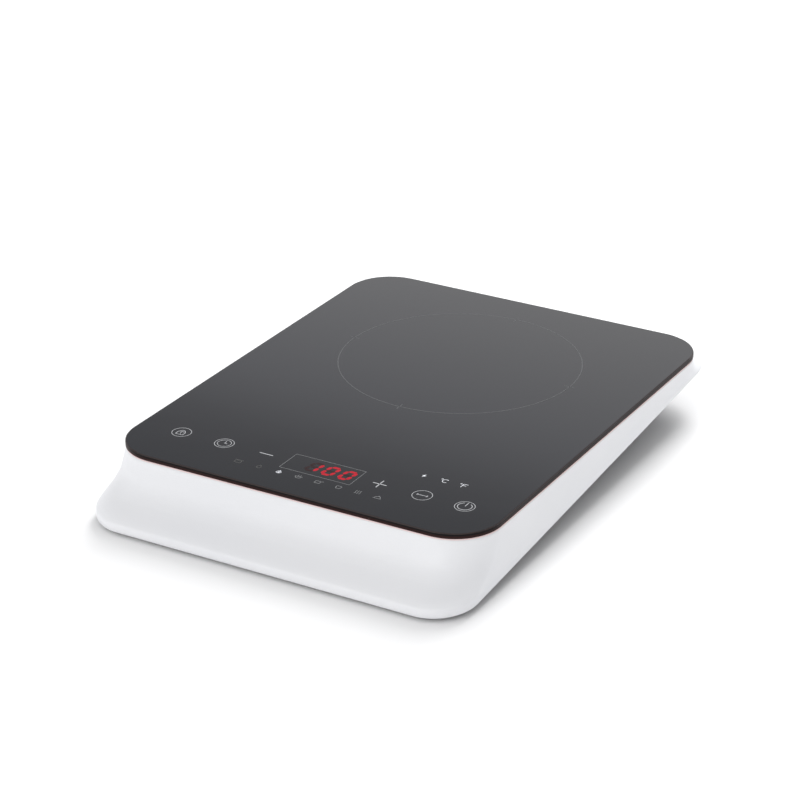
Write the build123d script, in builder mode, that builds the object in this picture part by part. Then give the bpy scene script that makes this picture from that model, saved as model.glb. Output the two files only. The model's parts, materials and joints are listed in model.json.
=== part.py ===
from build123d import *
import math
import os

# Portable electric induction cooktop, millimetres, +Z up.
# Origin: centre of the bounding box on the surface that the feet stand on.
# +X is the user's right, -Y is the front, where the controls are.

# ---------------------------------------------------------------- driving dimensions
GLASS_W = 290.0        # cooking plate, across
GLASS_L = 368.0        # cooking plate, front to rear
GLASS_R = 34.8         # plate corner radius
GLASS_T = 4.0
TOP_Z = 49.0           # cooking surface above the table
GLASS_Y = 11.0         # plate centre, behind the origin
GLASS_Z = TOP_Z - GLASS_T

SEAL_T = 0.8
SHELL_TOP = GLASS_Z - SEAL_T
WALL = 2.6
LEDGE_T = 2.6
FLARE_SIDE = 2.6       # how far the skirt's lip stands out past the plate
FLARE_FRONT = 32.4
FLARE_REAR = 10.4
RIM_FRONT_Z = 2.5      # lower rim above the table at the front
RIM_SLOPE = 0.0796     # the rim rises towards the rear
RIM_R_FRONT = 31.4
RIM_R_REAR = 35.0
FRONT_Y = GLASS_Y - GLASS_L / 2 - FLARE_FRONT
REAR_Y = GLASS_Y + GLASS_L / 2 + FLARE_REAR
# skirt profile: (fraction of the depth, fraction of the flare)
SKIRT = [(0.0, 0.0), (0.06, 0.010), (0.12, 0.028), (0.19, 0.064), (0.25, 0.100), (0.32, 0.131), (0.38, 0.160),
         (0.44, 0.201), (0.50, 0.255), (0.56, 0.330), (0.62, 0.430), (0.67, 0.550), (0.71, 0.664), (0.75, 0.775),
         (0.79, 0.889), (0.82, 0.950), (0.85, 0.984), (0.88, 0.998), (0.91, 1.0), (0.94, 0.997), (0.97, 0.983),
         (1.0, 0.955)]

BASE_Z = 6.0           # underside of the bottom cover, and the height of the feet
FLOOR_T = 2.5
FLOOR_Z = BASE_Z + FLOOR_T
BASE_FRONT_Y, BASE_REAR_Y = -186.0, 167.0
BASE_HW_FRONT, BASE_HW_REAR = 138.0, 112.9
LIP_FRONT_Y, LIP_REAR_Y = -196.0, 198.0
LIP_FRONT_Z, LIP_REAR_Z = 11.0, 37.5
LIP_HW = 142.5

FOOT_AT = [(-104, -152), (104, -152), (-98, 138), (98, 138)]
# cover screws: x, y, height of the head's seat
COVER_SCREWS = [(-121.5, -158, 10.5), (0, -166.5, 10.5), (121.5, -158, 10.5), (-127, -20, 12.5),
                (127, -20, 12.5), (-127, 128, 21.0), (127, 128, 21.0), (0, 184, 26.5)]

COIL_X, COIL_Y = 0.0, 72.0
COIL_RI, COIL_RO = 29.0, 89.0
COIL_TURNS = 18
COIL_Z = 39.8          # underside of the winding
CARRIER_R = 93.0
POST_R = 83.0          # spring posts, from the coil's centre
POST_ANGLES = (90, 210, 330)
FERRITE_ANGLES = [22.5 + 45 * k for k in range(8)]

FAN_X, FAN_Y = -50.0, 84.0
FAN_S, FAN_T = 92.0, 15.0
FAN_BORE = 43.5
FAN_HOLE = 41.25
FAN_Z = FLOOR_Z

PCB_X0, PCB_X1, PCB_Y0, PCB_Y1 = -100.0, 90.0, -116.0, -12.0
PCB_Z = 13.0
PCB_T = 1.6
PCB_TOP = PCB_Z + PCB_T
PCB_HOLES = [(PCB_X0 + 5, PCB_Y0 + 5), (PCB_X1 - 5, PCB_Y0 + 5), (PCB_X0 + 5, PCB_Y1 - 5), (PCB_X1 - 5, PCB_Y1 - 5)]

KEY_Y = GLASS_Y - GLASS_L / 2 + 43.2      # row of touch keys
PROG_Y = GLASS_Y - GLASS_L / 2 + 24.6     # row of programme lights
UNIT_Y = GLASS_Y - GLASS_L / 2 + 67.8     # row of unit lights
KEY_X = (-110.7, -75.3, -40.7, 49.2, 82.0, 114.2)
PROG_X = (-51.8, -35.0, -19.1, -3.7, 12.0, 27.7, 42.6, 58.0)
UNIT_X = (68.9, 84.8, 99.2)
CTRL_Z = 37.0
CTRL_T = 1.6
CTRL_X0, CTRL_X1, CTRL_Y0, CTRL_Y1 = -124.0, 124.0, -152.0, -97.0
CTRL_HOLES = [(-117, -145), (117, -145), (-117, -103), (117, -103)]

GLAND_X, GLAND_Z = 67.0, 15.0
GLAND_FACE_Y = 185.0
CORD_R = 3.75


def rim_z(y):
    return RIM_FRONT_Z + RIM_SLOPE * (y - FRONT_Y)


def tilted(z_at_zero, slope):
    a = math.atan(slope)
    return Plane(origin=(0, 0, z_at_zero), x_dir=(1, 0, 0), z_dir=(0, -math.sin(a), math.cos(a)))


def skirt_plane(v):
    return tilted((1 - v) * SHELL_TOP + v * rim_z(0), v * RIM_SLOPE)


def outline(hw_front, hw_rear, y_front, y_rear, r_front, r_rear, slope=0.0):
    """Rounded trapezium on the sketch plane in use; y is measured level."""
    c = math.cos(math.atan(slope))
    corners = [(-hw_front, y_front / c), (hw_front, y_front / c), (hw_rear, y_rear / c), (-hw_rear, y_rear / c)]
    with BuildLine() as edge:
        FilletPolyline(*corners, radius=[r_front, r_front, r_rear, r_rear], close=True)
    make_face(edge.edges())


def skirt_outline(v, o, inset=0.0, inset_front=0.0, inset_rear=0.0):
    hw = GLASS_W / 2 + FLARE_SIDE * o - inset
    yf = GLASS_Y - GLASS_L / 2 - FLARE_FRONT * o + inset_front
    yr = GLASS_Y + GLASS_L / 2 + FLARE_REAR * o - inset_rear
    rf = GLASS_R + (RIM_R_FRONT - GLASS_R) * v - inset
    rr = GLASS_R + (RIM_R_REAR - GLASS_R) * v - inset
    outline(hw, hw, yf, yr, rf, rr, v * RIM_SLOPE)


os.makedirs("parts", exist_ok=True)

# ================================================================ cooking plate and casing
with BuildPart() as glass_plate:
    with BuildSketch(Plane.XY.offset(GLASS_Z)):
        with Locations((0, GLASS_Y)):
            RectangleRounded(GLASS_W, GLASS_L, GLASS_R)
    extrude(amount=GLASS_T)
    fillet(glass_plate.faces().sort_by(Axis.Z)[-1].edges(), radius=0.9)
    chamfer(glass_plate.faces().sort_by(Axis.Z)[0].edges(), length=0.4)
glass_plate.part.label = "glass_plate"
export_step(glass_plate.part, "parts/glass_plate.step")

with BuildPart() as glass_seal:
    with BuildSketch(Plane.XY.offset(SHELL_TOP)):
        with Locations((0, GLASS_Y)):
            RectangleRounded(GLASS_W - 0.6, GLASS_L - 0.6, GLASS_R - 0.3)
            RectangleRounded(GLASS_W - 15.0, GLASS_L - 15.0, GLASS_R - 7.5, mode=Mode.SUBTRACT)
    extrude(amount=SEAL_T)
glass_seal.part.label = "glass_seal"
export_step(glass_seal.part, "parts/glass_seal.step")

# moulded skirt: S-curved wall, flat ledge under the plate, open middle, hanging screw bosses
with BuildPart() as upper_shell:
    for v, o in SKIRT:
        with BuildSketch(skirt_plane(v)):
            skirt_outline(v, o)
    loft(ruled=True)
    # room inside the wall, with more inset where the front leans out, so that the wall keeps its thickness
    for (va, oa), (v, o), (vb, ob) in zip(SKIRT, SKIRT[1:], SKIRT[2:] + [(1.10, 0.90)]):
        if v >= 0.31:
            lean = FLARE_FRONT * (ob - oa) / ((vb - va) * (SHELL_TOP - RIM_FRONT_Z))
            with BuildSketch(skirt_plane(v)):
                skirt_outline(v, o, WALL, min(2 * WALL, max(WALL + 0.9, WALL * math.hypot(1, lean))), WALL + 0.9)
    with BuildSketch(skirt_plane(1.10)):
        skirt_outline(1.10, 0.90, WALL, WALL + 0.9, WALL + 0.9)
    loft(ruled=True, mode=Mode.SUBTRACT)
    with BuildSketch(Plane.XY.offset(SHELL_TOP - LEDGE_T)):
        with Locations((0, GLASS_Y)):
            RectangleRounded(GLASS_W - 2 * WALL, GLASS_L - 2 * WALL, GLASS_R - WALL)
    extrude(amount=-60, mode=Mode.SUBTRACT)
    with BuildSketch(Plane.XY.offset(SHELL_TOP)):
        with Locations((0, 5.5)):
            RectangleRounded(240, 331, 22)
    extrude(amount=-6, mode=Mode.SUBTRACT)
    for x, y, z in COVER_SCREWS:
        with BuildSketch(Plane.XY.offset(z + 8.0)):
            with Locations((x, y)):
                Circle(5.0)
        extrude(amount=SHELL_TOP - LEDGE_T / 2 - z - 8.0)
        with BuildSketch(Plane.XY.offset(z + 8.0)):
            with Locations((x, y)):
                Circle(1.5)
        extrude(amount=min(12.0, SHELL_TOP - LEDGE_T - 1.0 - z - 8.0), mode=Mode.SUBTRACT)
upper_shell.part.label = "upper_shell"
export_step(upper_shell.part, "parts/upper_shell.step")

# bottom cover: flat floor with walls that slope out and up into the skirt
LIP_SLOPE = (LIP_REAR_Z - LIP_FRONT_Z) / (LIP_REAR_Y - LIP_FRONT_Y)
LIP_Z0 = LIP_FRONT_Z - LIP_SLOPE * LIP_FRONT_Y
with BuildPart() as tray_core:
    with BuildSketch(Plane.XY.offset(BASE_Z)):
        outline(BASE_HW_FRONT, BASE_HW_REAR, BASE_FRONT_Y, BASE_REAR_Y, 24, 30)
    with BuildSketch(tilted(LIP_Z0, LIP_SLOPE)):
        outline(LIP_HW, LIP_HW, LIP_FRONT_Y, LIP_REAR_Y, 30, 33, LIP_SLOPE)
    loft()

with BuildPart() as tray_bosses:
    for x, y, z in COVER_SCREWS:
        with BuildSketch(Plane.XY.offset(BASE_Z)):
            with Locations((x, y)):
                Circle(6.0)
        extrude(amount=z + 8.0 - BASE_Z)
    add(tray_core.part, mode=Mode.INTERSECT)

with BuildPart() as bottom_cover:
    add(tray_core.part)
    with BuildSketch(Plane.XY.offset(BASE_Z)):
        with Locations((GLAND_X, (150 + GLAND_FACE_Y) / 2)):
            Rectangle(30, GLAND_FACE_Y - 150)
    extrude(amount=18)
    with BuildSketch(Plane.XY.offset(FLOOR_Z)):
        outline(BASE_HW_FRONT - 2.6, BASE_HW_REAR - 2.6, BASE_FRONT_Y + 3.0, BASE_REAR_Y - 3.0, 21, 27)
    with BuildSketch(tilted(LIP_Z0 + 0.6, LIP_SLOPE)):
        outline(LIP_HW - 2.4, LIP_HW - 2.4, LIP_FRONT_Y + 2.6, LIP_REAR_Y - 2.6, 27.5, 30.5, LIP_SLOPE)
    loft(mode=Mode.SUBTRACT)
    with BuildSketch(Plane.XY.offset(FLOOR_Z)):
        with Locations((GLAND_X, (140 + GLAND_FACE_Y - 2.5) / 2)):
            Rectangle(25, GLAND_FACE_Y - 2.5 - 140)
    extrude(amount=13.2, mode=Mode.SUBTRACT)
    add(tray_bosses.part)
    # board posts, foot-screw bosses, clamp bosses
    with BuildSketch(Plane.XY.offset(FLOOR_Z - 0.5)):
        with Locations(*PCB_HOLES):
            Circle(3.6)
    extrude(amount=PCB_Z - FLOOR_Z + 0.5)
    with BuildSketch(Plane.XY.offset(FLOOR_Z - 0.5)):
        with Locations(*FOOT_AT):
            Circle(4.2)
    extrude(amount=6.0)
    with BuildSketch(Plane.XY.offset(FLOOR_Z - 0.5)):
        with Locations((GLAND_X - 10, 158), (GLAND_X + 10, 158)):
            Circle(3.6)
    extrude(amount=10.6)
    # spring posts under the coil carrier
    with BuildSketch(Plane.XY.offset(FLOOR_Z - 0.5)):
        with Locations((COIL_X, COIL_Y)):
            with PolarLocations(POST_R, 3, start_angle=90):
                Circle(5.2)
    extrude(amount=15.5)
    # screw holes with counterbores for the cover screws
    for x, y, z in COVER_SCREWS:
        with BuildSketch(Plane.XY.offset(BASE_Z - 1)):
            with Locations((x, y)):
                Circle(1.8)
        extrude(amount=z + 10 - BASE_Z, mode=Mode.SUBTRACT)
        with BuildSketch(Plane.XY.offset(BASE_Z - 1)):
            with Locations((x, y)):
                Circle(3.9)
        extrude(amount=z - BASE_Z + 1, mode=Mode.SUBTRACT)
    # pilot holes
    with BuildSketch(Plane.XY.offset(BASE_Z)):
        with Locations(*FOOT_AT):
            Circle(1.5)
    extrude(amount=7.0, mode=Mode.SUBTRACT)
    with BuildSketch(Plane.XY.offset(PCB_Z)):
        with Locations(*PCB_HOLES):
            Circle(1.45)
    extrude(amount=-6.0, mode=Mode.SUBTRACT)
    with BuildSketch(Plane.XY.offset(FLOOR_Z + 10.1)):
        with Locations((GLAND_X - 10, 158), (GLAND_X + 10, 158)):
            Circle(1.45)
    extrude(amount=-9.0, mode=Mode.SUBTRACT)
    # air inlet under the fan, with a rebate for the grille
    with BuildSketch(Plane.XY.offset(BASE_Z)):
        with Locations((FAN_X, FAN_Y)):
            Circle(43.0)
    extrude(amount=FLOOR_T, mode=Mode.SUBTRACT)
    with BuildSketch(Plane.XY.offset(BASE_Z)):
        with Locations((FAN_X, FAN_Y)):
            Circle(46.2)
    extrude(amount=1.6, mode=Mode.SUBTRACT)
    # fan screw holes
    with BuildSketch(Plane.XY.offset(BASE_Z)):
        with Locations((FAN_X, FAN_Y)):
            with GridLocations(2 * FAN_HOLE, 2 * FAN_HOLE, 2, 2):
                Circle(1.5)
    extrude(amount=FLOOR_T, mode=Mode.SUBTRACT)
    # air outlets: slots in the rear wall and in both side walls
    with BuildSketch(Plane.XY.offset(BASE_Z + 1)):
        with Locations(*[(x, 183.5) for x in range(-105, -10, 8)]):
            SlotOverall(18, 3.4, rotation=90)
    extrude(amount=32, mode=Mode.SUBTRACT)
    with BuildSketch(Plane.XY.offset(BASE_Z + 1)):
        with Locations(*[(131.5 - 0.055 * (y - 20), y) for y in range(20, 112, 8)]):
            SlotOverall(13, 3.4)
        with Locations(*[(-131.5 + 0.055 * (y - 20), y) for y in range(20, 112, 8)]):
            SlotOverall(13, 3.4)
    extrude(amount=30, mode=Mode.SUBTRACT)
    # hole for the cord gland
    with BuildSketch(Plane.XZ.offset(-GLAND_FACE_Y)):
        with Locations((GLAND_X, GLAND_Z)):
            Circle(5.8)
    extrude(amount=6, mode=Mode.SUBTRACT)
bottom_cover.part.label = "bottom_cover"
export_step(bottom_cover.part, "parts/bottom_cover.step")

with BuildPart() as intake_grille:
    with BuildSketch(Plane.XY.offset(BASE_Z + 0.1)):
        with Locations((FAN_X, FAN_Y)):
            Circle(46.0)
            for r in (36, 29.5, 23, 16.5, 10):
                Circle(r + 4.6, mode=Mode.SUBTRACT)
                Circle(r + 0.0)
            Circle(8.0)
            with Locations(*[(0, 0)]):
                for k in range(8):
                    Rectangle(2 * 44.0, 2.6, rotation=22.5 * k)
    extrude(amount=1.5)
intake_grille.part.label = "intake_grille"
export_step(intake_grille.part, "parts/intake_grille.step")

with BuildPart() as rubber_feet:
    with BuildSketch(Plane.XY):
        with Locations(*FOOT_AT):
            Circle(9.0)
    extrude(amount=BASE_Z, taper=-6)
    fillet(rubber_feet.faces().group_by(Axis.Z)[0].edges(), radius=0.8)
    with BuildSketch(Plane.XY):
        with Locations(*FOOT_AT):
            Circle(4.4)
    extrude(amount=3.4, mode=Mode.SUBTRACT)
    with BuildSketch(Plane.XY):
        with Locations(*FOOT_AT):
            Circle(1.8)
    extrude(amount=BASE_Z, mode=Mode.SUBTRACT)
rubber_feet.part.label = "rubber_feet"
export_step(rubber_feet.part, "parts/rubber_feet.step")

with BuildPart() as foot_screws:
    with BuildSketch(Plane.XY.offset(1.4)):
        with Locations(*FOOT_AT):
            Circle(3.5)
    extrude(amount=2.0)
    with BuildSketch(Plane.XY.offset(3.4)):
        with Locations(*FOOT_AT):
            Circle(1.45)
    extrude(amount=9.0)
    with BuildSketch(Plane.XY.offset(1.4)):
        with Locations(*FOOT_AT):
            Rectangle(3.6, 0.9)
            Rectangle(0.9, 3.6)
    extrude(amount=1.1, mode=Mode.SUBTRACT)
foot_screws.part.label = "foot_screws"
export_step(foot_screws.part, "parts/foot_screws.step")

with BuildPart() as cover_screws:
    for x, y, z in COVER_SCREWS:
        with BuildSketch(Plane.XY.offset(z - 2.2)):
            with Locations((x, y)):
                Circle(3.4)
        extrude(amount=2.2)
        with BuildSketch(Plane.XY.offset(z)):
            with Locations((x, y)):
                Circle(1.45)
        extrude(amount=min(19.0, SHELL_TOP - LEDGE_T - 1.5 - z))
        with BuildSketch(Plane.XY.offset(z - 2.2)):
            with Locations((x, y)):
                Rectangle(3.6, 0.9)
                Rectangle(0.9, 3.6)
        extrude(amount=1.2, mode=Mode.SUBTRACT)
cover_screws.part.label = "cover_screws"
export_step(cover_screws.part, "parts/cover_screws.step")

with BuildPart() as cord_gland:
    with BuildSketch(Plane.XZ.offset(-GLAND_FACE_Y)):
        with Locations((GLAND_X, GLAND_Z)):
            Circle(5.7)
    extrude(amount=10)
    with BuildSketch(Plane.XZ.offset(-GLAND_FACE_Y)):
        with Locations((GLAND_X, GLAND_Z)):
            Circle(7.4)
    extrude(amount=-2.5)
    chamfer(cord_gland.edges().group_by(Axis.Y)[-1], length=0.8)
    with BuildSketch(Plane.XZ.offset(-GLAND_FACE_Y + 2.7)):
        with Locations((GLAND_X, GLAND_Z)):
            Circle(6.35)
    extrude(amount=2.4)
    with BuildSketch(Plane.XZ.offset(-GLAND_FACE_Y - 3)):
        with Locations((GLAND_X, GLAND_Z)):
            Circle(CORD_R)
    extrude(amount=20, mode=Mode.SUBTRACT)
cord_gland.part.label = "cord_gland"
export_step(cord_gland.part, "parts/cord_gland.step")

with BuildPart() as cord_clamp:
    with BuildSketch(Plane.XY.offset(FLOOR_Z + 10.1)):
        with Locations((GLAND_X, 158)):
            SlotOverall(29, 8.5)
        with Locations((GLAND_X - 10, 158), (GLAND_X + 10, 158)):
            Circle(1.7, mode=Mode.SUBTRACT)
    extrude(amount=3.2)
    fillet(cord_clamp.faces().sort_by(Axis.Z)[-1].outer_wire().edges(), radius=0.8)
cord_clamp.part.label = "cord_clamp"
export_step(cord_clamp.part, "parts/cord_clamp.step")

with BuildPart() as cord_clamp_screws:
    with BuildSketch(Plane.XY.offset(FLOOR_Z + 13.3)):
        with Locations((GLAND_X - 10, 158), (GLAND_X + 10, 158)):
            Circle(2.9)
    extrude(amount=1.9)
    with BuildSketch(Plane.XY.offset(FLOOR_Z + 13.3)):
        with Locations((GLAND_X - 10, 158), (GLAND_X + 10, 158)):
            Circle(1.4)
    extrude(amount=-11)
    with BuildSketch(Plane.XY.offset(FLOOR_Z + 15.2)):
        with Locations((GLAND_X - 10, 158), (GLAND_X + 10, 158)):
            Rectangle(3.2, 0.8)
            Rectangle(0.8, 3.2)
    extrude(amount=-1.0, mode=Mode.SUBTRACT)
cord_clamp_screws.part.label = "cord_clamp_screws"
export_step(cord_clamp_screws.part, "parts/cord_clamp_screws.step")

# ================================================================ coil assembly
with BuildPart() as mica_sheet:
    with BuildSketch(Plane.XY.offset(44.35)):
        with Locations((COIL_X, COIL_Y)):
            Circle(92.0)
            Circle(6.0, mode=Mode.SUBTRACT)
    extrude(amount=0.5)
mica_sheet.part.label = "mica_sheet"
export_step(mica_sheet.part, "parts/mica_sheet.step")

# flat litz winding: turns side by side, each with a rounded top
COIL_PITCH = (COIL_RO - COIL_RI) / COIL_TURNS
with BuildPart() as induction_coil:
    with BuildSketch(Plane(origin=(COIL_X, COIL_Y, 0), x_dir=(1, 0, 0), z_dir=(0, -1, 0))):
        with BuildLine():
            Line((COIL_RI, COIL_Z), (COIL_RO, COIL_Z))
            Line((COIL_RO, COIL_Z), (COIL_RO, COIL_Z + 3.0))
            for k in range(COIL_TURNS):
                xa = COIL_RO - k * COIL_PITCH
                xb = xa - COIL_PITCH
                ThreePointArc((xa, COIL_Z + 3.0), ((xa + xb) / 2, COIL_Z + 4.2), (xb, COIL_Z + 3.0))
            Line((COIL_RI, COIL_Z + 3.0), (COIL_RI, COIL_Z))
        make_face()
    revolve(axis=Axis((COIL_X, COIL_Y, 0), (0, 0, 1)))
induction_coil.part.label = "induction_coil"
export_step(induction_coil.part, "parts/induction_coil.step")

with BuildPart() as coil_carrier:
    with BuildSketch(Plane.XY.offset(37.7)):
        with Locations((COIL_X, COIL_Y)):
            Circle(CARRIER_R)
            Circle(12.0, mode=Mode.SUBTRACT)
    extrude(amount=2.0)
    with BuildSketch(Plane.XY.offset(39.7)):
        with Locations((COIL_X, COIL_Y)):
            Circle(CARRIER_R)
            Circle(CARRIER_R - 2.0, mode=Mode.SUBTRACT)
            Circle(27.5)
            Circle(25.0, mode=Mode.SUBTRACT)
    extrude(amount=3.2)
    # pockets for the ferrite bars and pads for the springs
    with BuildSketch(Plane.XY.offset(37.7)):
        with Locations((COIL_X, COIL_Y)):
            with PolarLocations(49.0, 8, start_angle=22.5):
                Rectangle(49.6, 15.4)
                Rectangle(46.6, 12.6, mode=Mode.SUBTRACT)
    extrude(amount=-4.2)
    with BuildSketch(Plane.XY.offset(37.7)):
        with Locations((COIL_X, COIL_Y)):
            with PolarLocations(POST_R, 3, start_angle=90):
                Circle(6.2)
    extrude(amount=-3.0)
    with BuildSketch(Plane.XY.offset(34.7)):
        with Locations((COIL_X, COIL_Y)):
            with PolarLocations(POST_R, 3, start_angle=90):
                Circle(2.8)
    extrude(amount=-5.0)
    with BuildSketch(Plane.XY.offset(37.7)):
        with Locations((COIL_X, COIL_Y)):
            Circle(14.4)
            Circle(12.0, mode=Mode.SUBTRACT)
    extrude(amount=-3.5)
coil_carrier.part.label = "coil_carrier"
export_step(coil_carrier.part, "parts/coil_carrier.step")

with BuildPart() as ferrite_bars:
    with BuildSketch(Plane.XY.offset(37.6)):
        with Locations((COIL_X, COIL_Y)):
            with PolarLocations(49.0, 8, start_angle=22.5):
                Rectangle(46.0, 12.0)
    extrude(amount=-4.0)
    chamfer(ferrite_bars.faces().group_by(Axis.Z)[0].edges(), length=0.5)
ferrite_bars.part.label = "ferrite_bars"
export_step(ferrite_bars.part, "parts/ferrite_bars.step")

# springs between the posts and the carrier's pads
SPRING_Z0, SPRING_Z1 = 23.5 + 0.5, 34.7 - 0.5
with BuildPart() as one_spring:
    with BuildLine() as coil_path:
        Helix(pitch=(SPRING_Z1 - SPRING_Z0) / 4.0, height=SPRING_Z1 - SPRING_Z0, radius=3.9, center=(0, 0, SPRING_Z0))
    with BuildSketch(Plane(origin=coil_path.line @ 0, z_dir=coil_path.line % 0)):
        Circle(0.45)
    sweep(is_frenet=True)
with BuildPart() as coil_springs:
    with Locations(*[(COIL_X + POST_R * math.cos(math.radians(a)), COIL_Y + POST_R * math.sin(math.radians(a)), 0) for a in POST_ANGLES]):
        add(one_spring.part)
coil_springs.part.label = "coil_springs"
export_step(coil_springs.part, "parts/coil_springs.step")

with BuildPart() as thermistor_clip:
    with BuildSketch(Plane.XY.offset(35.0)):
        with Locations((COIL_X, COIL_Y)):
            Circle(11.7)
            Circle(4.3, mode=Mode.SUBTRACT)
    extrude(amount=4.7)
    with BuildSketch(Plane.XY.offset(39.7)):
        with Locations((COIL_X, COIL_Y)):
            Circle(14.0)
            Circle(4.3, mode=Mode.SUBTRACT)
    extrude(amount=1.6)
thermistor_clip.part.label = "thermistor_clip"
export_step(thermistor_clip.part, "parts/thermistor_clip.step")

with BuildPart() as coil_thermistor:
    with BuildSketch(Plane.XY.offset(35.5)):
        with Locations((COIL_X, COIL_Y)):
            Circle(4.2)
    extrude(amount=9.3)
    fillet(coil_thermistor.faces().sort_by(Axis.Z)[-1].edges(), radius=1.2)
coil_thermistor.part.label = "coil_thermistor"
export_step(coil_thermistor.part, "parts/coil_thermistor.step")


def lead(points, r, bend):
    """Round lead along straight runs with tangent arcs."""
    with BuildLine() as path:
        FilletPolyline(*points, radius=bend)
    with BuildSketch(Plane(origin=path.line @ 0, z_dir=path.line % 0)) as section:
        Circle(r)
    sweep(section.sketch, path=path.wires()[0])


with BuildPart() as coil_lead_inner:
    lead([(-1.8, 38, 35.6), (-1.8, -26, 35.6), (-8, -39, 24.5), (-8, -39, 21.6)], 1.4, 2.5)
coil_lead_inner.part.label = "coil_lead_inner"
export_step(coil_lead_inner.part, "parts/coil_lead_inner.step")

with BuildPart() as coil_lead_outer:
    lead([(7, -8, 35.6), (7, -24, 35.6), (14, -39, 24.5), (14, -39, 21.6)], 1.5, 2.5)
coil_lead_outer.part.label = "coil_lead_outer"
export_step(coil_lead_outer.part, "parts/coil_lead_outer.step")

TERMINAL_AT = [(-8, -39), (14, -39)]
with BuildPart() as coil_terminals:
    with BuildSketch(Plane.XY.offset(PCB_TOP)):
        with Locations(*TERMINAL_AT):
            RegularPolygon(4.6, 6)
    extrude(amount=5.6)
    with BuildSketch(Plane.XY.offset(PCB_TOP + 5.6)):
        with Locations(*TERMINAL_AT):
            Circle(3.8)
    extrude(amount=1.2)
    chamfer(coil_terminals.faces().group_by(Axis.Z)[-1].edges(), length=0.3)
coil_terminals.part.label = "coil_terminals"
export_step(coil_terminals.part, "parts/coil_terminals.step")

# ================================================================ main board
HS_X0, HS_X1, HS_Y0, HS_Y1 = -64.0, 20.0, -96.0, -54.0
HEATSINK_HOLES = [(HS_X0 + 8.0, -75), (HS_X1 - 8.0, -75)]
with BuildPart() as main_board:
    with BuildSketch(Plane.XY.offset(PCB_Z)):
        with Locations(((PCB_X0 + PCB_X1) / 2, (PCB_Y0 + PCB_Y1) / 2)):
            RectangleRounded(PCB_X1 - PCB_X0, PCB_Y1 - PCB_Y0, 2.5)
        with Locations(*PCB_HOLES, *HEATSINK_HOLES):
            Circle(1.7, mode=Mode.SUBTRACT)
    extrude(amount=PCB_T)
main_board.part.label = "main_board"
export_step(main_board.part, "parts/main_board.step")

with BuildPart() as board_screws:
    with BuildSketch(Plane.XY.offset(PCB_TOP)):
        with Locations(*PCB_HOLES):
            Circle(2.9)
    extrude(amount=1.9)
    with BuildSketch(Plane.XY.offset(PCB_TOP)):
        with Locations(*PCB_HOLES):
            Circle(1.4)
    extrude(amount=-6.8)
    with BuildSketch(Plane.XY.offset(PCB_TOP + 1.9)):
        with Locations(*PCB_HOLES):
            Rectangle(3.2, 0.8)
            Rectangle(0.8, 3.2)
    extrude(amount=-1.0, mode=Mode.SUBTRACT)
board_screws.part.label = "board_screws"
export_step(board_screws.part, "parts/board_screws.step")

with BuildPart() as heatsink:
    with BuildSketch(Plane.XZ.offset(-HS_Y1)):
        with Locations(((HS_X0 + HS_X1) / 2, 22.4)):
            Rectangle(HS_X1 - HS_X0, 4.0)
        with Locations((HS_X0 + 1.5, 17.5), (HS_X1 - 1.5, 17.5)):
            Rectangle(3.0, 5.8)
        with Locations(*[(HS_X0 + 1.0 + k * (HS_X1 - HS_X0 - 2.0) / 14, 31.4) for k in range(15)]):
            Rectangle(1.8, 14.2)
    extrude(amount=HS_Y1 - HS_Y0)
    with BuildSketch(Plane.XY.offset(20.4)):
        with Locations(*HEATSINK_HOLES):
            Circle(1.3)
    extrude(amount=3.0, mode=Mode.SUBTRACT)
heatsink.part.label = "heatsink"
export_step(heatsink.part, "parts/heatsink.step")

with BuildPart() as heatsink_screws:
    with BuildSketch(Plane.XY.offset(PCB_Z - 1.8)):
        with Locations(*HEATSINK_HOLES):
            Circle(2.6)
    extrude(amount=1.8)
    with BuildSketch(Plane.XY.offset(PCB_Z)):
        with Locations(*HEATSINK_HOLES):
            Circle(1.25)
    extrude(amount=10.0)
heatsink_screws.part.label = "heatsink_screws"
export_step(heatsink_screws.part, "parts/heatsink_screws.step")

with BuildPart() as igbt:
    with BuildSketch(Plane.XY.offset(15.4)):
        with Locations((-38, -73)):
            Rectangle(15.8, 20.6)
    extrude(amount=4.9)
    chamfer(igbt.edges().filter_by(Axis.Z), length=0.8)
    with BuildSketch(Plane.XY.offset(16.6)):
        with Locations((-43.45, -86.3), (-38, -86.3), (-32.55, -86.3)):
            Rectangle(1.2, 6.4)
    extrude(amount=0.6)
    with BuildSketch(Plane.XY.offset(PCB_TOP)):
        with Locations((-43.45, -89.1), (-38, -89.1), (-32.55, -89.1)):
            Rectangle(1.2, 0.8)
    extrude(amount=2.4)
igbt.part.label = "igbt"
export_step(igbt.part, "parts/igbt.step")

with BuildPart() as bridge_rectifier:
    with BuildSketch(Plane.XY.offset(15.4)):
        with Locations((-8, -73)):
            Rectangle(30.0, 20.0)
    extrude(amount=4.9)
    chamfer(bridge_rectifier.edges().filter_by(Axis.Z), length=1.2)
    with BuildSketch(Plane.XY.offset(16.6)):
        with Locations((-19, -86.0), (-11.5, -86.0), (-4, -86.0), (3.5, -86.0)):
            Rectangle(1.3, 6.2)
    extrude(amount=0.6)
    with BuildSketch(Plane.XY.offset(PCB_TOP)):
        with Locations((-19, -88.7), (-11.5, -88.7), (-4, -88.7), (3.5, -88.7)):
            Rectangle(1.3, 0.8)
    extrude(amount=2.4)
bridge_rectifier.part.label = "bridge_rectifier"
export_step(bridge_rectifier.part, "parts/bridge_rectifier.step")

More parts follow.
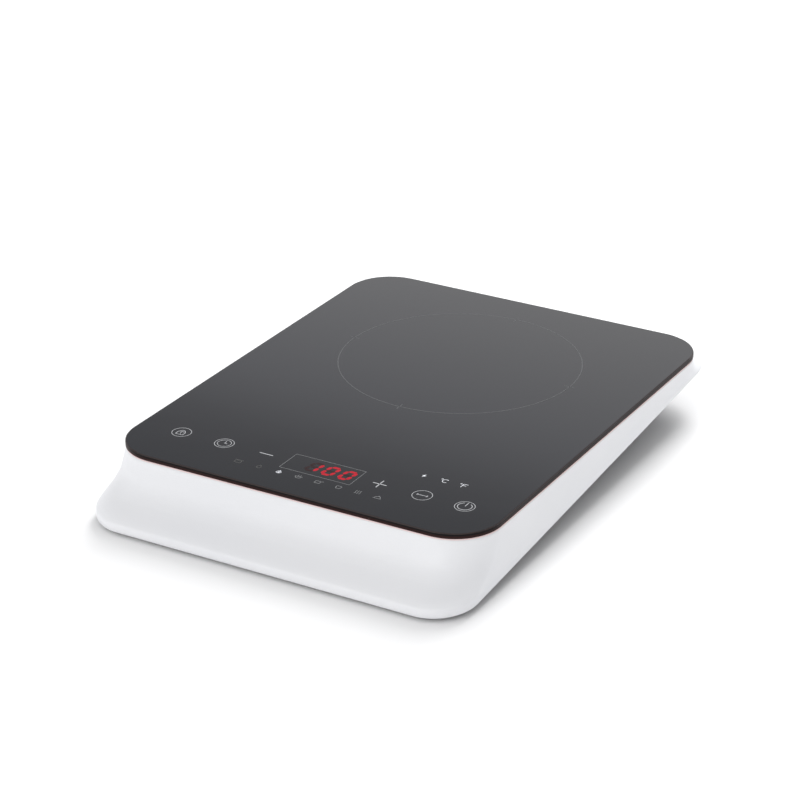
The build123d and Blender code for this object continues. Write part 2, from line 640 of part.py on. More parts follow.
with BuildPart() as filter_choke:
    with BuildSketch(Plane.XY.offset(PCB_TOP)):
        with Locations((-42, -33)):
            Circle(13.5)
    extrude(amount=1.5)
    with BuildSketch(Plane.XY.offset(PCB_TOP + 1.5)):
        with Locations((-42, -33)):
            Circle(11.8)
            Circle(6.2, mode=Mode.SUBTRACT)
    extrude(amount=8.6)
    with BuildSketch(Plane.XY.offset(PCB_TOP + 1.5)):
        with Locations((-42, -33)):
            with PolarLocations(11.8, 22):
                Circle(1.1)
            with PolarLocations(6.2, 22):
                Circle(0.7)
    extrude(amount=9.6)
    with BuildSketch(Plane.XY.offset(PCB_TOP + 10.1)):
        with Locations((-42, -33)):
            with PolarLocations(9.0, 22):
                Rectangle(5.6, 1.4)
    extrude(amount=1.0)
filter_choke.part.label = "filter_choke"
export_step(filter_choke.part, "parts/filter_choke.step")


def box_part(x, y, z, lx, ly, lz, r=0.8):
    """Moulded box standing on height z."""
    with BuildSketch(Plane.XY.offset(z)) as section:
        with Locations((x, y)):
            RectangleRounded(lx, ly, r)
    extrude(section.sketch, amount=lz)


with BuildPart() as resonance_capacitor:
    box_part(50, -87, PCB_TOP, 32, 18, 24)
    fillet(resonance_capacitor.faces().sort_by(Axis.Z)[-1].edges(), radius=0.7)
resonance_capacitor.part.label = "resonance_capacitor"
export_step(resonance_capacitor.part, "parts/resonance_capacitor.step")

with BuildPart() as filter_capacitor:
    box_part(50, -62, PCB_TOP, 40, 21, 25)
    fillet(filter_capacitor.faces().sort_by(Axis.Z)[-1].edges(), radius=0.7)
filter_capacitor.part.label = "filter_capacitor"
export_step(filter_capacitor.part, "parts/filter_capacitor.step")

with BuildPart() as x_capacitor:
    box_part(-82, -44, PCB_TOP, 26, 10, 17)
    fillet(x_capacitor.faces().sort_by(Axis.Z)[-1].edges(), radius=0.6)
x_capacitor.part.label = "x_capacitor"
export_step(x_capacitor.part, "parts/x_capacitor.step")

with BuildPart() as electrolytic_capacitors:
    with BuildSketch(Plane.XY.offset(PCB_TOP)):
        with Locations((78, -98), (78, -85), (78, -72)):
            Circle(5.0)
    extrude(amount=15.0)
    fillet(electrolytic_capacitors.faces().group_by(Axis.Z)[-1].edges(), radius=0.6)
    with BuildSketch(Plane.XY.offset(PCB_TOP + 15.0)):
        with Locations((78, -98), (78, -85), (78, -72)):
            Rectangle(7.0, 0.5)
            Rectangle(0.5, 7.0)
    extrude(amount=-0.4, mode=Mode.SUBTRACT)
electrolytic_capacitors.part.label = "electrolytic_capacitors"
export_step(electrolytic_capacitors.part, "parts/electrolytic_capacitors.step")

with BuildPart() as fuse_clips:
    for x in (-90.0, -73.0):
        with BuildSketch(Plane.YZ.offset(x - 2.2)):
            with Locations((-27, PCB_TOP + 3.6)):
                Rectangle(8.0, 7.2)
                with Locations((0, 0.6)):
                    Circle(2.75, mode=Mode.SUBTRACT)
                with Locations((0, 3.4)):
                    Rectangle(3.6, 3.0, mode=Mode.SUBTRACT)
        extrude(amount=4.4)
fuse_clips.part.label = "fuse_clips"
export_step(fuse_clips.part, "parts/fuse_clips.step")

with BuildPart() as fuse:
    with BuildSketch(Plane.YZ.offset(-92.5)):
        with Locations((-27, PCB_TOP + 4.2)):
            Circle(2.3)
    extrude(amount=22.0)
    with BuildSketch(Plane.YZ.offset(-92.5)):
        with Locations((-27, PCB_TOP + 4.2)):
            Circle(2.6)
    extrude(amount=5.0)
    with BuildSketch(Plane.YZ.offset(-75.5)):
        with Locations((-27, PCB_TOP + 4.2)):
            Circle(2.6)
    extrude(amount=5.0)
fuse.part.label = "fuse"
export_step(fuse.part, "parts/fuse.step")

with BuildPart() as varistor:
    with BuildSketch(Plane.XZ.offset(57.0)):
        with Locations((-82, PCB_TOP + 9.5)):
            Circle(7.2)
    extrude(amount=4.6)
    fillet(varistor.edges().filter_by(GeomType.CIRCLE), radius=1.2)
    with BuildSketch(Plane.XY.offset(PCB_TOP)):
        with Locations((-85.7, -59.3), (-78.3, -59.3)):
            Rectangle(0.9, 0.9)
    extrude(amount=5.0)
varistor.part.label = "varistor"
export_step(varistor.part, "parts/varistor.step")

with BuildPart() as standby_transformer:
    box_part(-82, -88, PCB_TOP, 18, 17, 4.0)
    with BuildSketch(Plane.XY.offset(PCB_TOP + 4.0)):
        with Locations((-82, -88)):
            Rectangle(17, 6)
            RectangleRounded(11.5, 15, 2.5)
    extrude(amount=11.5)
    box_part(-82, -88, PCB_TOP + 15.5, 17, 9, 2.2)
standby_transformer.part.label = "standby_transformer"
export_step(standby_transformer.part, "parts/standby_transformer.step")

with BuildPart() as buzzer:
    with BuildSketch(Plane.XY.offset(PCB_TOP)):
        with Locations((38, -34)):
            Circle(6.0)
    extrude(amount=7.5)
    fillet(buzzer.faces().sort_by(Axis.Z)[-1].edges(), radius=0.6)
    with BuildSketch(Plane.XY.offset(PCB_TOP + 7.5)):
        with Locations((38, -34)):
            Circle(1.2)
    extrude(amount=-2.0, mode=Mode.SUBTRACT)
buzzer.part.label = "buzzer"
export_step(buzzer.part, "parts/buzzer.step")

with BuildPart() as fan_connector:
    box_part(-62, -18, PCB_TOP, 8, 6, 7, 0.5)
    with BuildSketch(Plane.XY.offset(PCB_TOP + 7)):
        with Locations((-62, -18)):
            Rectangle(6.2, 3.6)
    extrude(amount=-3.5, mode=Mode.SUBTRACT)
fan_connector.part.label = "fan_connector"
export_step(fan_connector.part, "parts/fan_connector.step")

with BuildPart() as board_header:
    box_part(0, -108, PCB_TOP, 22, 6, 8, 0.5)
    with BuildSketch(Plane.XY.offset(PCB_TOP + 8)):
        with Locations((0, -108)):
            Rectangle(19.4, 3.4)
    extrude(amount=-4.5, mode=Mode.SUBTRACT)
board_header.part.label = "board_header"
export_step(board_header.part, "parts/board_header.step")

with BuildPart() as mains_terminals:
    for x in (62, 74):
        with BuildSketch(Plane.XY.offset(PCB_TOP)):
            with Locations((x, -22)):
                Rectangle(7.6, 2.6)
        extrude(amount=1.6)
        with BuildSketch(Plane.XY.offset(PCB_TOP + 1.6)):
            with Locations((x, -22)):
                Rectangle(6.3, 0.8)
        extrude(amount=8.0)
    fillet(mains_terminals.edges().filter_by(Axis.Y).group_by(Axis.Z)[-1], radius=1.6)
mains_terminals.part.label = "mains_terminals"
export_step(mains_terminals.part, "parts/mains_terminals.step")

# ================================================================ fan
with BuildPart() as fan_frame:
    with BuildSketch(Plane.XY.offset(FAN_Z)):
        with Locations((FAN_X, FAN_Y)):
            RectangleRounded(FAN_S, FAN_S, 4.0)
            Circle(FAN_BORE, mode=Mode.SUBTRACT)
            with GridLocations(2 * FAN_HOLE, 2 * FAN_HOLE, 2, 2):
                Circle(2.1, mode=Mode.SUBTRACT)
    extrude(amount=FAN_T)
    # waist between the two flanges, outside only
    with BuildSketch(Plane.XY.offset(FAN_Z + 3.5)):
        with Locations((FAN_X, FAN_Y)):
            Rectangle(FAN_S + 2, FAN_S + 2)
            Circle(FAN_BORE + 1.6, mode=Mode.SUBTRACT)
    extrude(amount=FAN_T - 7.0, mode=Mode.SUBTRACT)
    # struts, hub plate and bearing tube
    with BuildSketch(Plane.XY.offset(FAN_Z)):
        with Locations((FAN_X, FAN_Y)):
            Circle(15.5)
            for a in (20, 110):
                Rectangle(2 * FAN_BORE + 1.0, 4.0, rotation=a)
    extrude(amount=2.0)
    with BuildSketch(Plane.XY.offset(FAN_Z + 2.0)):
        with Locations((FAN_X, FAN_Y)):
            Circle(5.0)
            Circle(3.0, mode=Mode.SUBTRACT)
    extrude(amount=8.6)
fan_frame.part.label = "fan_frame"
export_step(fan_frame.part, "parts/fan_frame.step")

with BuildPart() as fan_bushing:
    with BuildSketch(Plane.XY.offset(FAN_Z + 2.1)):
        with Locations((FAN_X, FAN_Y)):
            Circle(2.98)
            Circle(1.54, mode=Mode.SUBTRACT)
    extrude(amount=8.5)
fan_bushing.part.label = "fan_bushing"
export_step(fan_bushing.part, "parts/fan_bushing.step")

with BuildPart() as fan_stator:
    with BuildSketch(Plane.XY.offset(FAN_Z + 2.6)):
        with Locations((FAN_X, FAN_Y)):
            Circle(7.0)
            with PolarLocations(9.1, 4):
                Rectangle(5.2, 3.0)
            with PolarLocations(11.0, 4):
                RectangleRounded(1.6, 9.0, 0.6)
            Circle(5.1, mode=Mode.SUBTRACT)
    extrude(amount=6.5)
fan_stator.part.label = "fan_stator"
export_step(fan_stator.part, "parts/fan_stator.step")

with BuildPart() as fan_magnet_ring:
    with BuildSketch(Plane.XY.offset(FAN_Z + 3.2)):
        with Locations((FAN_X, FAN_Y)):
            Circle(14.15)
            Circle(12.9, mode=Mode.SUBTRACT)
    extrude(amount=7.4)
fan_magnet_ring.part.label = "fan_magnet_ring"
export_step(fan_magnet_ring.part, "parts/fan_magnet_ring.step")

BLADES = 7
with BuildPart() as fan_rotor:
    with BuildSketch(Plane.XY.offset(FAN_Z + 2.8)):
        with Locations((FAN_X, FAN_Y)):
            Circle(16.2)
            Circle(14.2, mode=Mode.SUBTRACT)
    extrude(amount=8.2)
    with BuildSketch(Plane.XY.offset(FAN_Z + 11.0)):
        with Locations((FAN_X, FAN_Y)):
            Circle(16.2)
    extrude(amount=2.2)
    fillet(fan_rotor.faces().sort_by(Axis.Z)[-1].edges(), radius=0.9)
    with BuildSketch(Plane.XY.offset(FAN_Z + 13.2)):
        with Locations((FAN_X, FAN_Y)):
            Circle(1.5)
    extrude(amount=-2.2, mode=Mode.SUBTRACT)
    # raked blades, wider at the tip
    for k in range(BLADES):
        t = math.radians(360.0 / BLADES * k)
        radial = (math.cos(t), math.sin(t), 0)
        across = (-math.sin(t), math.cos(t), 0)
        for pitch, r, chord in ((44, 15.4, 11.5), (30, 41.4, 19.0)):
            p = math.radians(pitch)
            chord_dir = (across[0] * math.cos(p), across[1] * math.cos(p), math.sin(p))
            with BuildSketch(Plane(origin=(FAN_X + r * radial[0], FAN_Y + r * radial[1], FAN_Z + 7.9), x_dir=chord_dir, z_dir=radial)):
                RectangleRounded(chord, 1.5, 0.6)
        loft()
fan_rotor.part.label = "fan_rotor"
export_step(fan_rotor.part, "parts/fan_rotor.step")

with BuildPart() as fan_shaft:
    with BuildSketch(Plane.XY.offset(FAN_Z + 2.4)):
        with Locations((FAN_X, FAN_Y)):
            Circle(1.5)
    extrude(amount=10.8)
fan_shaft.part.label = "fan_shaft"
export_step(fan_shaft.part, "parts/fan_shaft.step")

with BuildPart() as fan_screws:
    with BuildSketch(Plane.XY.offset(FAN_Z + FAN_T)):
        with Locations((FAN_X, FAN_Y)):
            with GridLocations(2 * FAN_HOLE, 2 * FAN_HOLE, 2, 2):
                Circle(3.0)
    extrude(amount=2.0)
    with BuildSketch(Plane.XY.offset(FAN_Z + FAN_T)):
        with Locations((FAN_X, FAN_Y)):
            with GridLocations(2 * FAN_HOLE, 2 * FAN_HOLE, 2, 2):
                Circle(1.45)
    extrude(amount=-(FAN_T + 2.2))
    with BuildSketch(Plane.XY.offset(FAN_Z + FAN_T + 2.0)):
        with Locations((FAN_X, FAN_Y)):
            with GridLocations(2 * FAN_HOLE, 2 * FAN_HOLE, 2, 2):
                Rectangle(3.4, 0.8)
                Rectangle(0.8, 3.4)
    extrude(amount=-1.0, mode=Mode.SUBTRACT)
fan_screws.part.label = "fan_screws"
export_step(fan_screws.part, "parts/fan_screws.step")

with BuildPart() as air_baffle:
    with BuildSketch(Plane.XY.offset(FLOOR_Z)):
        with Locations((-47.5, 136)):
            Rectangle(90, 1.8)
        with Locations((-1.1, 89.5)):
            Rectangle(1.8, 94.8)
    extrude(amount=21.9)
air_baffle.part.label = "air_baffle"
export_step(air_baffle.part, "parts/air_baffle.step")

with BuildPart() as fan_lead:
    lead([(-62, 36.5, 12), (-62, 12, 12), (-62, -6, 24.5), (-62, -18, 24.5), (-62, -18, 21.8)], 1.2, 2.2)
fan_lead.part.label = "fan_lead"
export_step(fan_lead.part, "parts/fan_lead.step")

# ================================================================ control panel electronics
with BuildPart() as control_board:
    with BuildSketch(Plane.XY.offset(CTRL_Z)):
        with Locations(((CTRL_X0 + CTRL_X1) / 2, (CTRL_Y0 + CTRL_Y1) / 2)):
            RectangleRounded(CTRL_X1 - CTRL_X0, CTRL_Y1 - CTRL_Y0, 6.0)
        with Locations(*CTRL_HOLES):
            Circle(1.7, mode=Mode.SUBTRACT)
    extrude(amount=CTRL_T)
control_board.part.label = "control_board"
export_step(control_board.part, "parts/control_board.step")

with BuildPart() as control_bracket:
    with BuildSketch(Plane.XY.offset(31.0)):
        with Locations((0, -125)):
            RectangleRounded(244, 51, 6.0)
            RectangleRounded(222, 34, 6.0, mode=Mode.SUBTRACT)
    extrude(amount=2.4)
    with BuildSketch(Plane.XY.offset(31.0)):
        with Locations((-52, -125), (52, -125)):
            Rectangle(8, 38)
    extrude(amount=2.4)
    with BuildSketch(Plane.XY.offset(33.4)):
        with Locations(*CTRL_HOLES):
            Circle(3.4)
    extrude(amount=CTRL_Z - 33.4)
    with BuildSketch(Plane.XY.offset(FLOOR_Z)):
        with Locations((-117, -125), (117, -125), (-52, -146), (52, -146)):
            Circle(3.4)
    extrude(amount=31.0 - FLOOR_Z)
    with BuildSketch(Plane.XY.offset(CTRL_Z)):
        with Locations(*CTRL_HOLES):
            Circle(1.4)
    extrude(amount=-5.0, mode=Mode.SUBTRACT)
control_bracket.part.label = "control_bracket"
export_step(control_bracket.part, "parts/control_bracket.step")

with BuildPart() as control_screws:
    with BuildSketch(Plane.XY.offset(CTRL_Z + CTRL_T)):
        with Locations(*CTRL_HOLES):
            Circle(2.8)
    extrude(amount=1.7)
    with BuildSketch(Plane.XY.offset(CTRL_Z + CTRL_T)):
        with Locations(*CTRL_HOLES):
            Circle(1.35)
    extrude(amount=-6.0)
    with BuildSketch(Plane.XY.offset(CTRL_Z + CTRL_T + 1.7)):
        with Locations(*CTRL_HOLES):
            Rectangle(3.0, 0.8)
            Rectangle(0.8, 3.0)
    extrude(amount=-0.9, mode=Mode.SUBTRACT)
control_screws.part.label = "control_screws"
export_step(control_screws.part, "parts/control_screws.step")

DISPLAY_X, DISPLAY_Y = 4.6, GLASS_Y - GLASS_L / 2 + 42.2
with BuildPart() as display_module:
    box_part(DISPLAY_X, DISPLAY_Y, CTRL_Z + CTRL_T, 50.0, 19.0, 6.0, 0.8)
display_module.part.label = "display_module"
export_step(display_module.part, "parts/display_module.step")

with BuildPart() as one_touch_spring:
    with BuildLine() as touch_path:
        Helix(pitch=1.45, height=4.35, radius=4.2, center=(0, 0, CTRL_Z + CTRL_T + 0.45))
    with BuildSketch(Plane(origin=touch_path.line @ 0, z_dir=touch_path.line % 0)):
        Circle(0.35)
    sweep(is_frenet=True)
    with BuildSketch(Plane.XY.offset(CTRL_Z + CTRL_T + 4.7)):
        Circle(5.0)
    extrude(amount=0.6)
with BuildPart() as touch_springs:
    with Locations(*[(x, KEY_Y, 0) for x in KEY_X]):
        add(one_touch_spring.part)
touch_springs.part.label = "touch_springs"
export_step(touch_springs.part, "parts/touch_springs.step")

with BuildPart() as indicator_leds:
    with BuildSketch(Plane.XY.offset(CTRL_Z + CTRL_T)):
        with Locations(*[(x, PROG_Y) for x in PROG_X], *[(x, UNIT_Y) for x in UNIT_X]):
            Rectangle(3.2, 1.6)
    extrude(amount=1.1)
    chamfer(indicator_leds.faces().group_by(Axis.Z)[-1].edges(), length=0.2)
indicator_leds.part.label = "indicator_leds"
export_step(indicator_leds.part, "parts/indicator_leds.step")

with BuildPart() as controller_chip:
    with BuildSketch(Plane.XY.offset(CTRL_Z)):
        with Locations((-30, -126)):
            Rectangle(12, 12)
    extrude(amount=-1.6)
    chamfer(controller_chip.edges().filter_by(Axis.Z), length=0.6)
    with BuildSketch(Plane.XY.offset(CTRL_Z)):
        with Locations((-30, -126)):
            with GridLocations(0.9, 13.4, 11, 2):
                Rectangle(0.4, 1.6)
            with GridLocations(13.4, 0.9, 2, 11):
                Rectangle(1.6, 0.4)
    extrude(amount=-0.5)
controller_chip.part.label = "controller_chip"
export_step(controller_chip.part, "parts/controller_chip.step")

with BuildPart() as ribbon_cable:
    with BuildSketch(Plane.YZ):
        with BuildLine():
            FilletPolyline((-108, PCB_TOP + 4.2), (-108, 29.5), (-116, 35.0), (-116, CTRL_Z - 0.1), radius=1.2)
        trace(line_width=0.9)
    extrude(amount=9.0, both=True)
ribbon_cable.part.label = "ribbon_cable"
export_step(ribbon_cable.part, "parts/ribbon_cable.step")
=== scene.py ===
import bpy, json, math
import numpy as np
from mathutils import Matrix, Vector


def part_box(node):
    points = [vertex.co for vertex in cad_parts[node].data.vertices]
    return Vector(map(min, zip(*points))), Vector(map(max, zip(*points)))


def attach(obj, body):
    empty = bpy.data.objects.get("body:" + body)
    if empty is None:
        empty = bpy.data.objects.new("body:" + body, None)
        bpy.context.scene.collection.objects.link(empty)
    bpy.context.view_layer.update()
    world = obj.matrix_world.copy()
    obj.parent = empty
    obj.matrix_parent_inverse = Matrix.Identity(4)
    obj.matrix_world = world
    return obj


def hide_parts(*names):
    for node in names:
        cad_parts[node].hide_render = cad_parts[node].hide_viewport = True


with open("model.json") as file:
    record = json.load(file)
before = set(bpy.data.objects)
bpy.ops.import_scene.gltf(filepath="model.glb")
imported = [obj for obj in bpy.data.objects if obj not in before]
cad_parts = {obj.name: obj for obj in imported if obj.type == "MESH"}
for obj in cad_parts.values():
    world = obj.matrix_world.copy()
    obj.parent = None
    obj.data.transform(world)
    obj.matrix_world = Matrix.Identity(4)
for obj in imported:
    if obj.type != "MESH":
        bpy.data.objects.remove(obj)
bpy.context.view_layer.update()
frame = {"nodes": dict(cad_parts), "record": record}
MM = 0.001

# ------------------------------------------------------------------ camera
GLASS_LO, GLASS_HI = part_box("glass_plate")
GX = (GLASS_LO.x + GLASS_HI.x) / 2
GY = (GLASS_LO.y + GLASS_HI.y) / 2
TOP = GLASS_HI.z
GW = GLASS_HI.x - GLASS_LO.x
GL = GLASS_HI.y - GLASS_LO.y
FRONT = GLASS_LO.y
K = GW / 0.280
AZ, EL = math.radians(29.73), math.radians(24.95)
back = Vector((math.sin(AZ) * math.cos(EL), -math.cos(AZ) * math.cos(EL), math.sin(EL)))
target = Vector((GX - 0.00494 * K, GY - 0.01864 * K, TOP))
cam_data = bpy.data.cameras.new("camera")
cam_data.sensor_width = 36.0
cam_data.lens = 2652.0 / 800.0 * 36.0
cam_data.clip_end = 50.0
cam = bpy.data.objects.new("camera", cam_data)
cam.location = target + back * 1.829 * K
cam.rotation_euler = (-back).to_track_quat("-Z", "Y").to_euler()
bpy.context.scene.collection.objects.link(cam)
bpy.context.scene.camera = cam


# ------------------------------------------------------------------ material tools
class Mat:
    def __init__(self, name):
        self.m = bpy.data.materials.new(name)
        self.m.use_nodes = True
        self.n = self.m.node_tree.nodes
        self.l = self.m.node_tree.links
        self.n.clear()
        self.out = self.n.new("ShaderNodeOutputMaterial")
        self.b = self.n.new("ShaderNodeBsdfPrincipled")
        self.l.new(self.b.outputs["BSDF"], self.out.inputs["Surface"])
        self.tc = self.n.new("ShaderNodeTexCoord")

    def set(self, **kw):
        for k, v in kw.items():
            self.b.inputs[k.replace("_", " ")].default_value = v
        return self

    def noise(self, scale, detail=3.0, rough=0.55, stretch=None, distortion=0.0):
        t = self.n.new("ShaderNodeTexNoise")
        t.inputs["Scale"].default_value = scale
        t.inputs["Detail"].default_value = detail
        t.inputs["Roughness"].default_value = rough
        t.inputs["Distortion"].default_value = distortion
        src = self.tc.outputs["Object"]
        if stretch:
            mp = self.n.new("ShaderNodeMapping")
            mp.inputs["Scale"].default_value = stretch
            self.l.new(src, mp.inputs["Vector"])
            src = mp.outputs["Vector"]
        self.l.new(src, t.inputs["Vector"])
        return t.outputs["Fac"]

    def ramp(self, fac, stops):
        r = self.n.new("ShaderNodeValToRGB")
        e = r.color_ramp.elements
        while len(e) > len(stops):
            e.remove(e[-1])
        while len(e) < len(stops):
            e.new(0.5)
        for el, (p, c) in zip(e, stops):
            el.position = p
            el.color = (c[0], c[1], c[2], 1.0) if hasattr(c, "__len__") else (c, c, c, 1.0)
        self.l.new(fac, r.inputs["Fac"])
        return r.outputs["Color"]

    def mapr(self, fac, lo, hi, a=0.3, b=0.7):
        r = self.n.new("ShaderNodeMapRange")
        r.inputs["From Min"].default_value = a
        r.inputs["From Max"].default_value = b
        r.inputs["To Min"].default_value = lo
        r.inputs["To Max"].default_value = hi
        self.l.new(fac, r.inputs["Value"])
        return r.outputs["Result"]

    def mix(self, fac, a, b, kind="MIX"):
        m = self.n.new("ShaderNodeMix")
        m.data_type = "RGBA"
        m.blend_type = kind
        for sock, v in ((m.inputs["Factor"], fac), (m.inputs[6], a), (m.inputs[7], b)):
            if isinstance(v, bpy.types.NodeSocket):
                self.l.new(v, sock)
            elif hasattr(v, "__len__"):
                sock.default_value = (v[0], v[1], v[2], 1.0)
            else:
                sock.default_value = v
        return m.outputs[2]

    def color(self, src):
        self.l.new(src, self.b.inputs["Base Color"])
        return self

    def rough(self, src):
        self.l.new(src, self.b.inputs["Roughness"])
        return self

    def bump(self, height, strength=0.2, distance=0.0002):
        bp = self.n.new("ShaderNodeBump")
        bp.inputs["Strength"].default_value = strength
        bp.inputs["Distance"].default_value = distance
        self.l.new(height, bp.inputs["Height"])
        self.l.new(bp.outputs["Normal"], self.b.inputs["Normal"])
        return self

    def math(self, op, a, b=None):
        m = self.n.new("ShaderNodeMath")
        m.operation = op
        for sock, v in zip(m.inputs, (a, b)):
            if v is None:
                continue
            if isinstance(v, bpy.types.NodeSocket):
                self.l.new(v, sock)
            else:
                sock.default_value = v
        return m.outputs[0]


def shade(c, f):
    return tuple(min(1.0, x * f) for x in c)


def plastic(name, c, rough=(0.38, 0.5), var=0.12, grain=1800.0, bump=0.12, spec=0.5):
    """Moulded plastic: slow colour drift, fine grain in colour, roughness and height."""
    m = Mat(name)
    slow = m.noise(14.0, 2.0)
    fine = m.noise(grain, 3.0, 0.6)
    a = m.ramp(slow, [(0.3, shade(c, 1 - var)), (0.7, shade(c, 1 + var))])
    b = m.ramp(fine, [(0.35, 0.93), (0.65, 1.0)])
    m.color(m.mix(1.0, a, b, "MULTIPLY"))
    m.rough(m.mapr(m.noise(60.0, 4.0), rough[0], rough[1]))
    m.bump(fine, bump, 0.00006)
    m.b.inputs["Specular IOR Level"].default_value = spec
    return m


def metal(name, c, rough=(0.22, 0.4), stretch=None, scale=400.0, bump=0.08):
    m = Mat(name)
    m.b.inputs["Metallic"].default_value = 1.0
    g = m.noise(scale, 4.0, 0.6, stretch)
    slow = m.noise(50.0, 2.0)
    a = m.ramp(slow, [(0.3, shade(c, 0.85)), (0.7, shade(c, 1.08))])
    m.color(m.mix(0.35, a, m.ramp(g, [(0.3, shade(c, 0.7)), (0.7, c)])))
    m.rough(m.mapr(g, rough[0], rough[1]))
    m.bump(g, bump, 0.00005)
    return m


# ------------------------------------------------------------------ materials, one for each slot
M = {}

# white moulded skirt: smooth, slightly cool, soft gloss
w = Mat("white_shell")
w_slow = w.noise(6.0, 2.0)
w_fine = w.noise(2600.0, 2.0, 0.5)
w_a = w.ramp(w_slow, [(0.3, (0.812, 0.820, 0.842)), (0.7, (0.836, 0.840, 0.856))])
w.color(w.mix(1.0, w_a, w.ramp(w_fine, [(0.3, 0.975), (0.7, 1.0)]), "MULTIPLY"))
w.rough(w.mapr(w.noise(45.0, 3.0), 0.34, 0.44))
w.bump(w_fine, 0.05, 0.00004)
w.set(Specular_IOR_Level=0.42)
M["white_shell"] = w

# black glass-ceramic: polished top, ground edge that is dark brown
g = Mat("glass_top")
geo = g.n.new("ShaderNodeNewGeometry")
sep = g.n.new("ShaderNodeSeparateXYZ")
g.l.new(geo.outputs["Normal"], sep.inputs[0])
flat = g.mapr(sep.outputs["Z"], 0.0, 1.0, 0.93, 0.995)
speck = g.noise(5200.0, 2.0, 0.6)
top_c = g.ramp(speck, [(0.35, (0.0105, 0.0105, 0.0118)), (0.72, (0.0170, 0.0170, 0.0182))])
edge_c = g.ramp(g.noise(300.0, 3.0), [(0.3, (0.0150, 0.0058, 0.0052)), (0.7, (0.0210, 0.0080, 0.0070))])
g.color(g.mix(flat, edge_c, top_c))
smear = g.noise(9.0, 4.0, 0.6, (1.0, 2.2, 1.0), 1.2)
g.rough(g.math("ADD", g.mapr(flat, 0.46, 0.045, 0.0, 1.0), g.mapr(smear, 0.0, 0.035)))
g.set(Specular_IOR_Level=0.5)
M["glass_top"] = g

M["seal_silicone"] = plastic("seal_silicone", (0.82, 0.64, 0.63), (0.4, 0.5), 0.05, 900, 0.05, 0.4)
M["black_silicone"] = plastic("black_silicone", (0.022, 0.022, 0.023), (0.55, 0.7), 0.1, 1500, 0.1, 0.3)
M["black_base"] = plastic("black_base", (0.030, 0.031, 0.033), (0.42, 0.58), 0.14, 2200, 0.35, 0.42)
M["rubber"] = plastic("rubber", (0.024, 0.024, 0.024), (0.7, 0.85), 0.2, 900, 0.3, 0.25)
M["zinc_screw"] = metal("zinc_screw", (0.62, 0.62, 0.60), (0.2, 0.38))
M["spring_steel"] = metal("spring_steel", (0.55, 0.55, 0.55), (0.16, 0.3), (1, 1, 6))
M["heatsink_alu"] = metal("heatsink_alu", (0.74, 0.75, 0.77), (0.28, 0.42), (1, 18, 1), 220)
M["brass_post"] = metal("brass_post", (0.78, 0.58, 0.26), (0.18, 0.34))
M["nickel"] = metal("nickel", (0.72, 0.71, 0.67), (0.14, 0.28))
M["bronze"] = metal("bronze", (0.48, 0.33, 0.16), (0.4, 0.55))
M["heat_resin"] = plastic("heat_resin", (0.085, 0.083, 0.080), (0.5, 0.65), 0.15, 900, 0.3)
M["ferrite"] = plastic("ferrite", (0.070, 0.071, 0.076), (0.62, 0.8), 0.2, 700, 0.4, 0.3)
M["red_silicone"] = plastic("red_silicone", (0.42, 0.06, 0.04), (0.5, 0.62), 0.1, 900, 0.1, 0.35)
M["thermistor_body"] = plastic("thermistor_body", (0.80, 0.76, 0.66), (0.45, 0.6), 0.06, 900, 0.1)
M["component_black"] = plastic("component_black", (0.036, 0.036, 0.038), (0.45, 0.6), 0.1, 1200, 0.2)
M["capacitor_box"] = plastic("capacitor_box", (0.62, 0.46, 0.09), (0.24, 0.34), 0.06, 700, 0.05)
M["can_sleeve"] = plastic("can_sleeve", (0.035, 0.05, 0.12), (0.18, 0.28), 0.1, 600, 0.04)
M["varistor_blue"] = plastic("varistor_blue", (0.04, 0.10, 0.34), (0.2, 0.32), 0.12, 350, 0.2)
M["transformer_tape"] = plastic("transformer_tape", (0.72, 0.58, 0.08), (0.2, 0.3), 0.08, 400, 0.1)
M["connector_white"] = plastic("connector_white", (0.80, 0.78, 0.72), (0.34, 0.46), 0.04, 900, 0.05)
M["fan_plastic"] = plastic("fan_plastic", (0.033, 0.034, 0.036), (0.36, 0.5), 0.14, 1600, 0.15)
M["lead_red"] = plastic("lead_red", (0.46, 0.03, 0.025), (0.3, 0.42), 0.08, 600, 0.05)
M["display_black"] = plastic("display_black", (0.022, 0.022, 0.024), (0.2, 0.3), 0.1, 900, 0.05)
M["led_white"] = plastic("led_white", (0.84, 0.80, 0.52), (0.25, 0.35), 0.05, 900, 0.05)
M["ribbon_grey"] = plastic("ribbon_grey", (0.44, 0.44, 0.45), (0.34, 0.46), 0.08, 800, 0.1)

# litz winding: stranded look from noise drawn out along the height
COIL_LO, COIL_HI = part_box("induction_coil")
cc = ((COIL_LO.x + COIL_HI.x) / 2, (COIL_LO.y + COIL_HI.y) / 2)
for slot_name, centre, base in (("litz_copper", cc, (0.62, 0.28, 0.12)), ("choke", None, (0.50, 0.25, 0.10))):
    m = Mat(slot_name)
    m.b.inputs["Metallic"].default_value = 0.85
    strands = m.noise(1300.0, 3.0, 0.6, (1.0, 1.0, 0.4))
    m.color(m.ramp(strands, [(0.3, shade(base, 0.45)), (0.55, base), (0.75, shade(base, 1.4))]))
    m.rough(m.mapr(m.noise(200.0), 0.28, 0.42))
    m.bump(strands, 0.5, 0.0002)
    M[slot_name] = m

# woven glass sleeve on the coil leads
m = Mat("glass_sleeve")
wv = m.n.new("ShaderNodeTexWave")
wv.inputs["Scale"].default_value = 420.0
wv.inputs["Distortion"].default_value = 1.5
m.l.new(m.tc.outputs["Object"], wv.inputs["Vector"])
m.color(m.ramp(wv.outputs["Fac"], [(0.2, (0.52, 0.49, 0.40)), (0.8, (0.80, 0.77, 0.68))]))
m.rough(m.mapr(m.noise(200.0), 0.65, 0.8))
m.bump(wv.outputs["Fac"], 0.4, 0.0002)
M["glass_sleeve"] = m

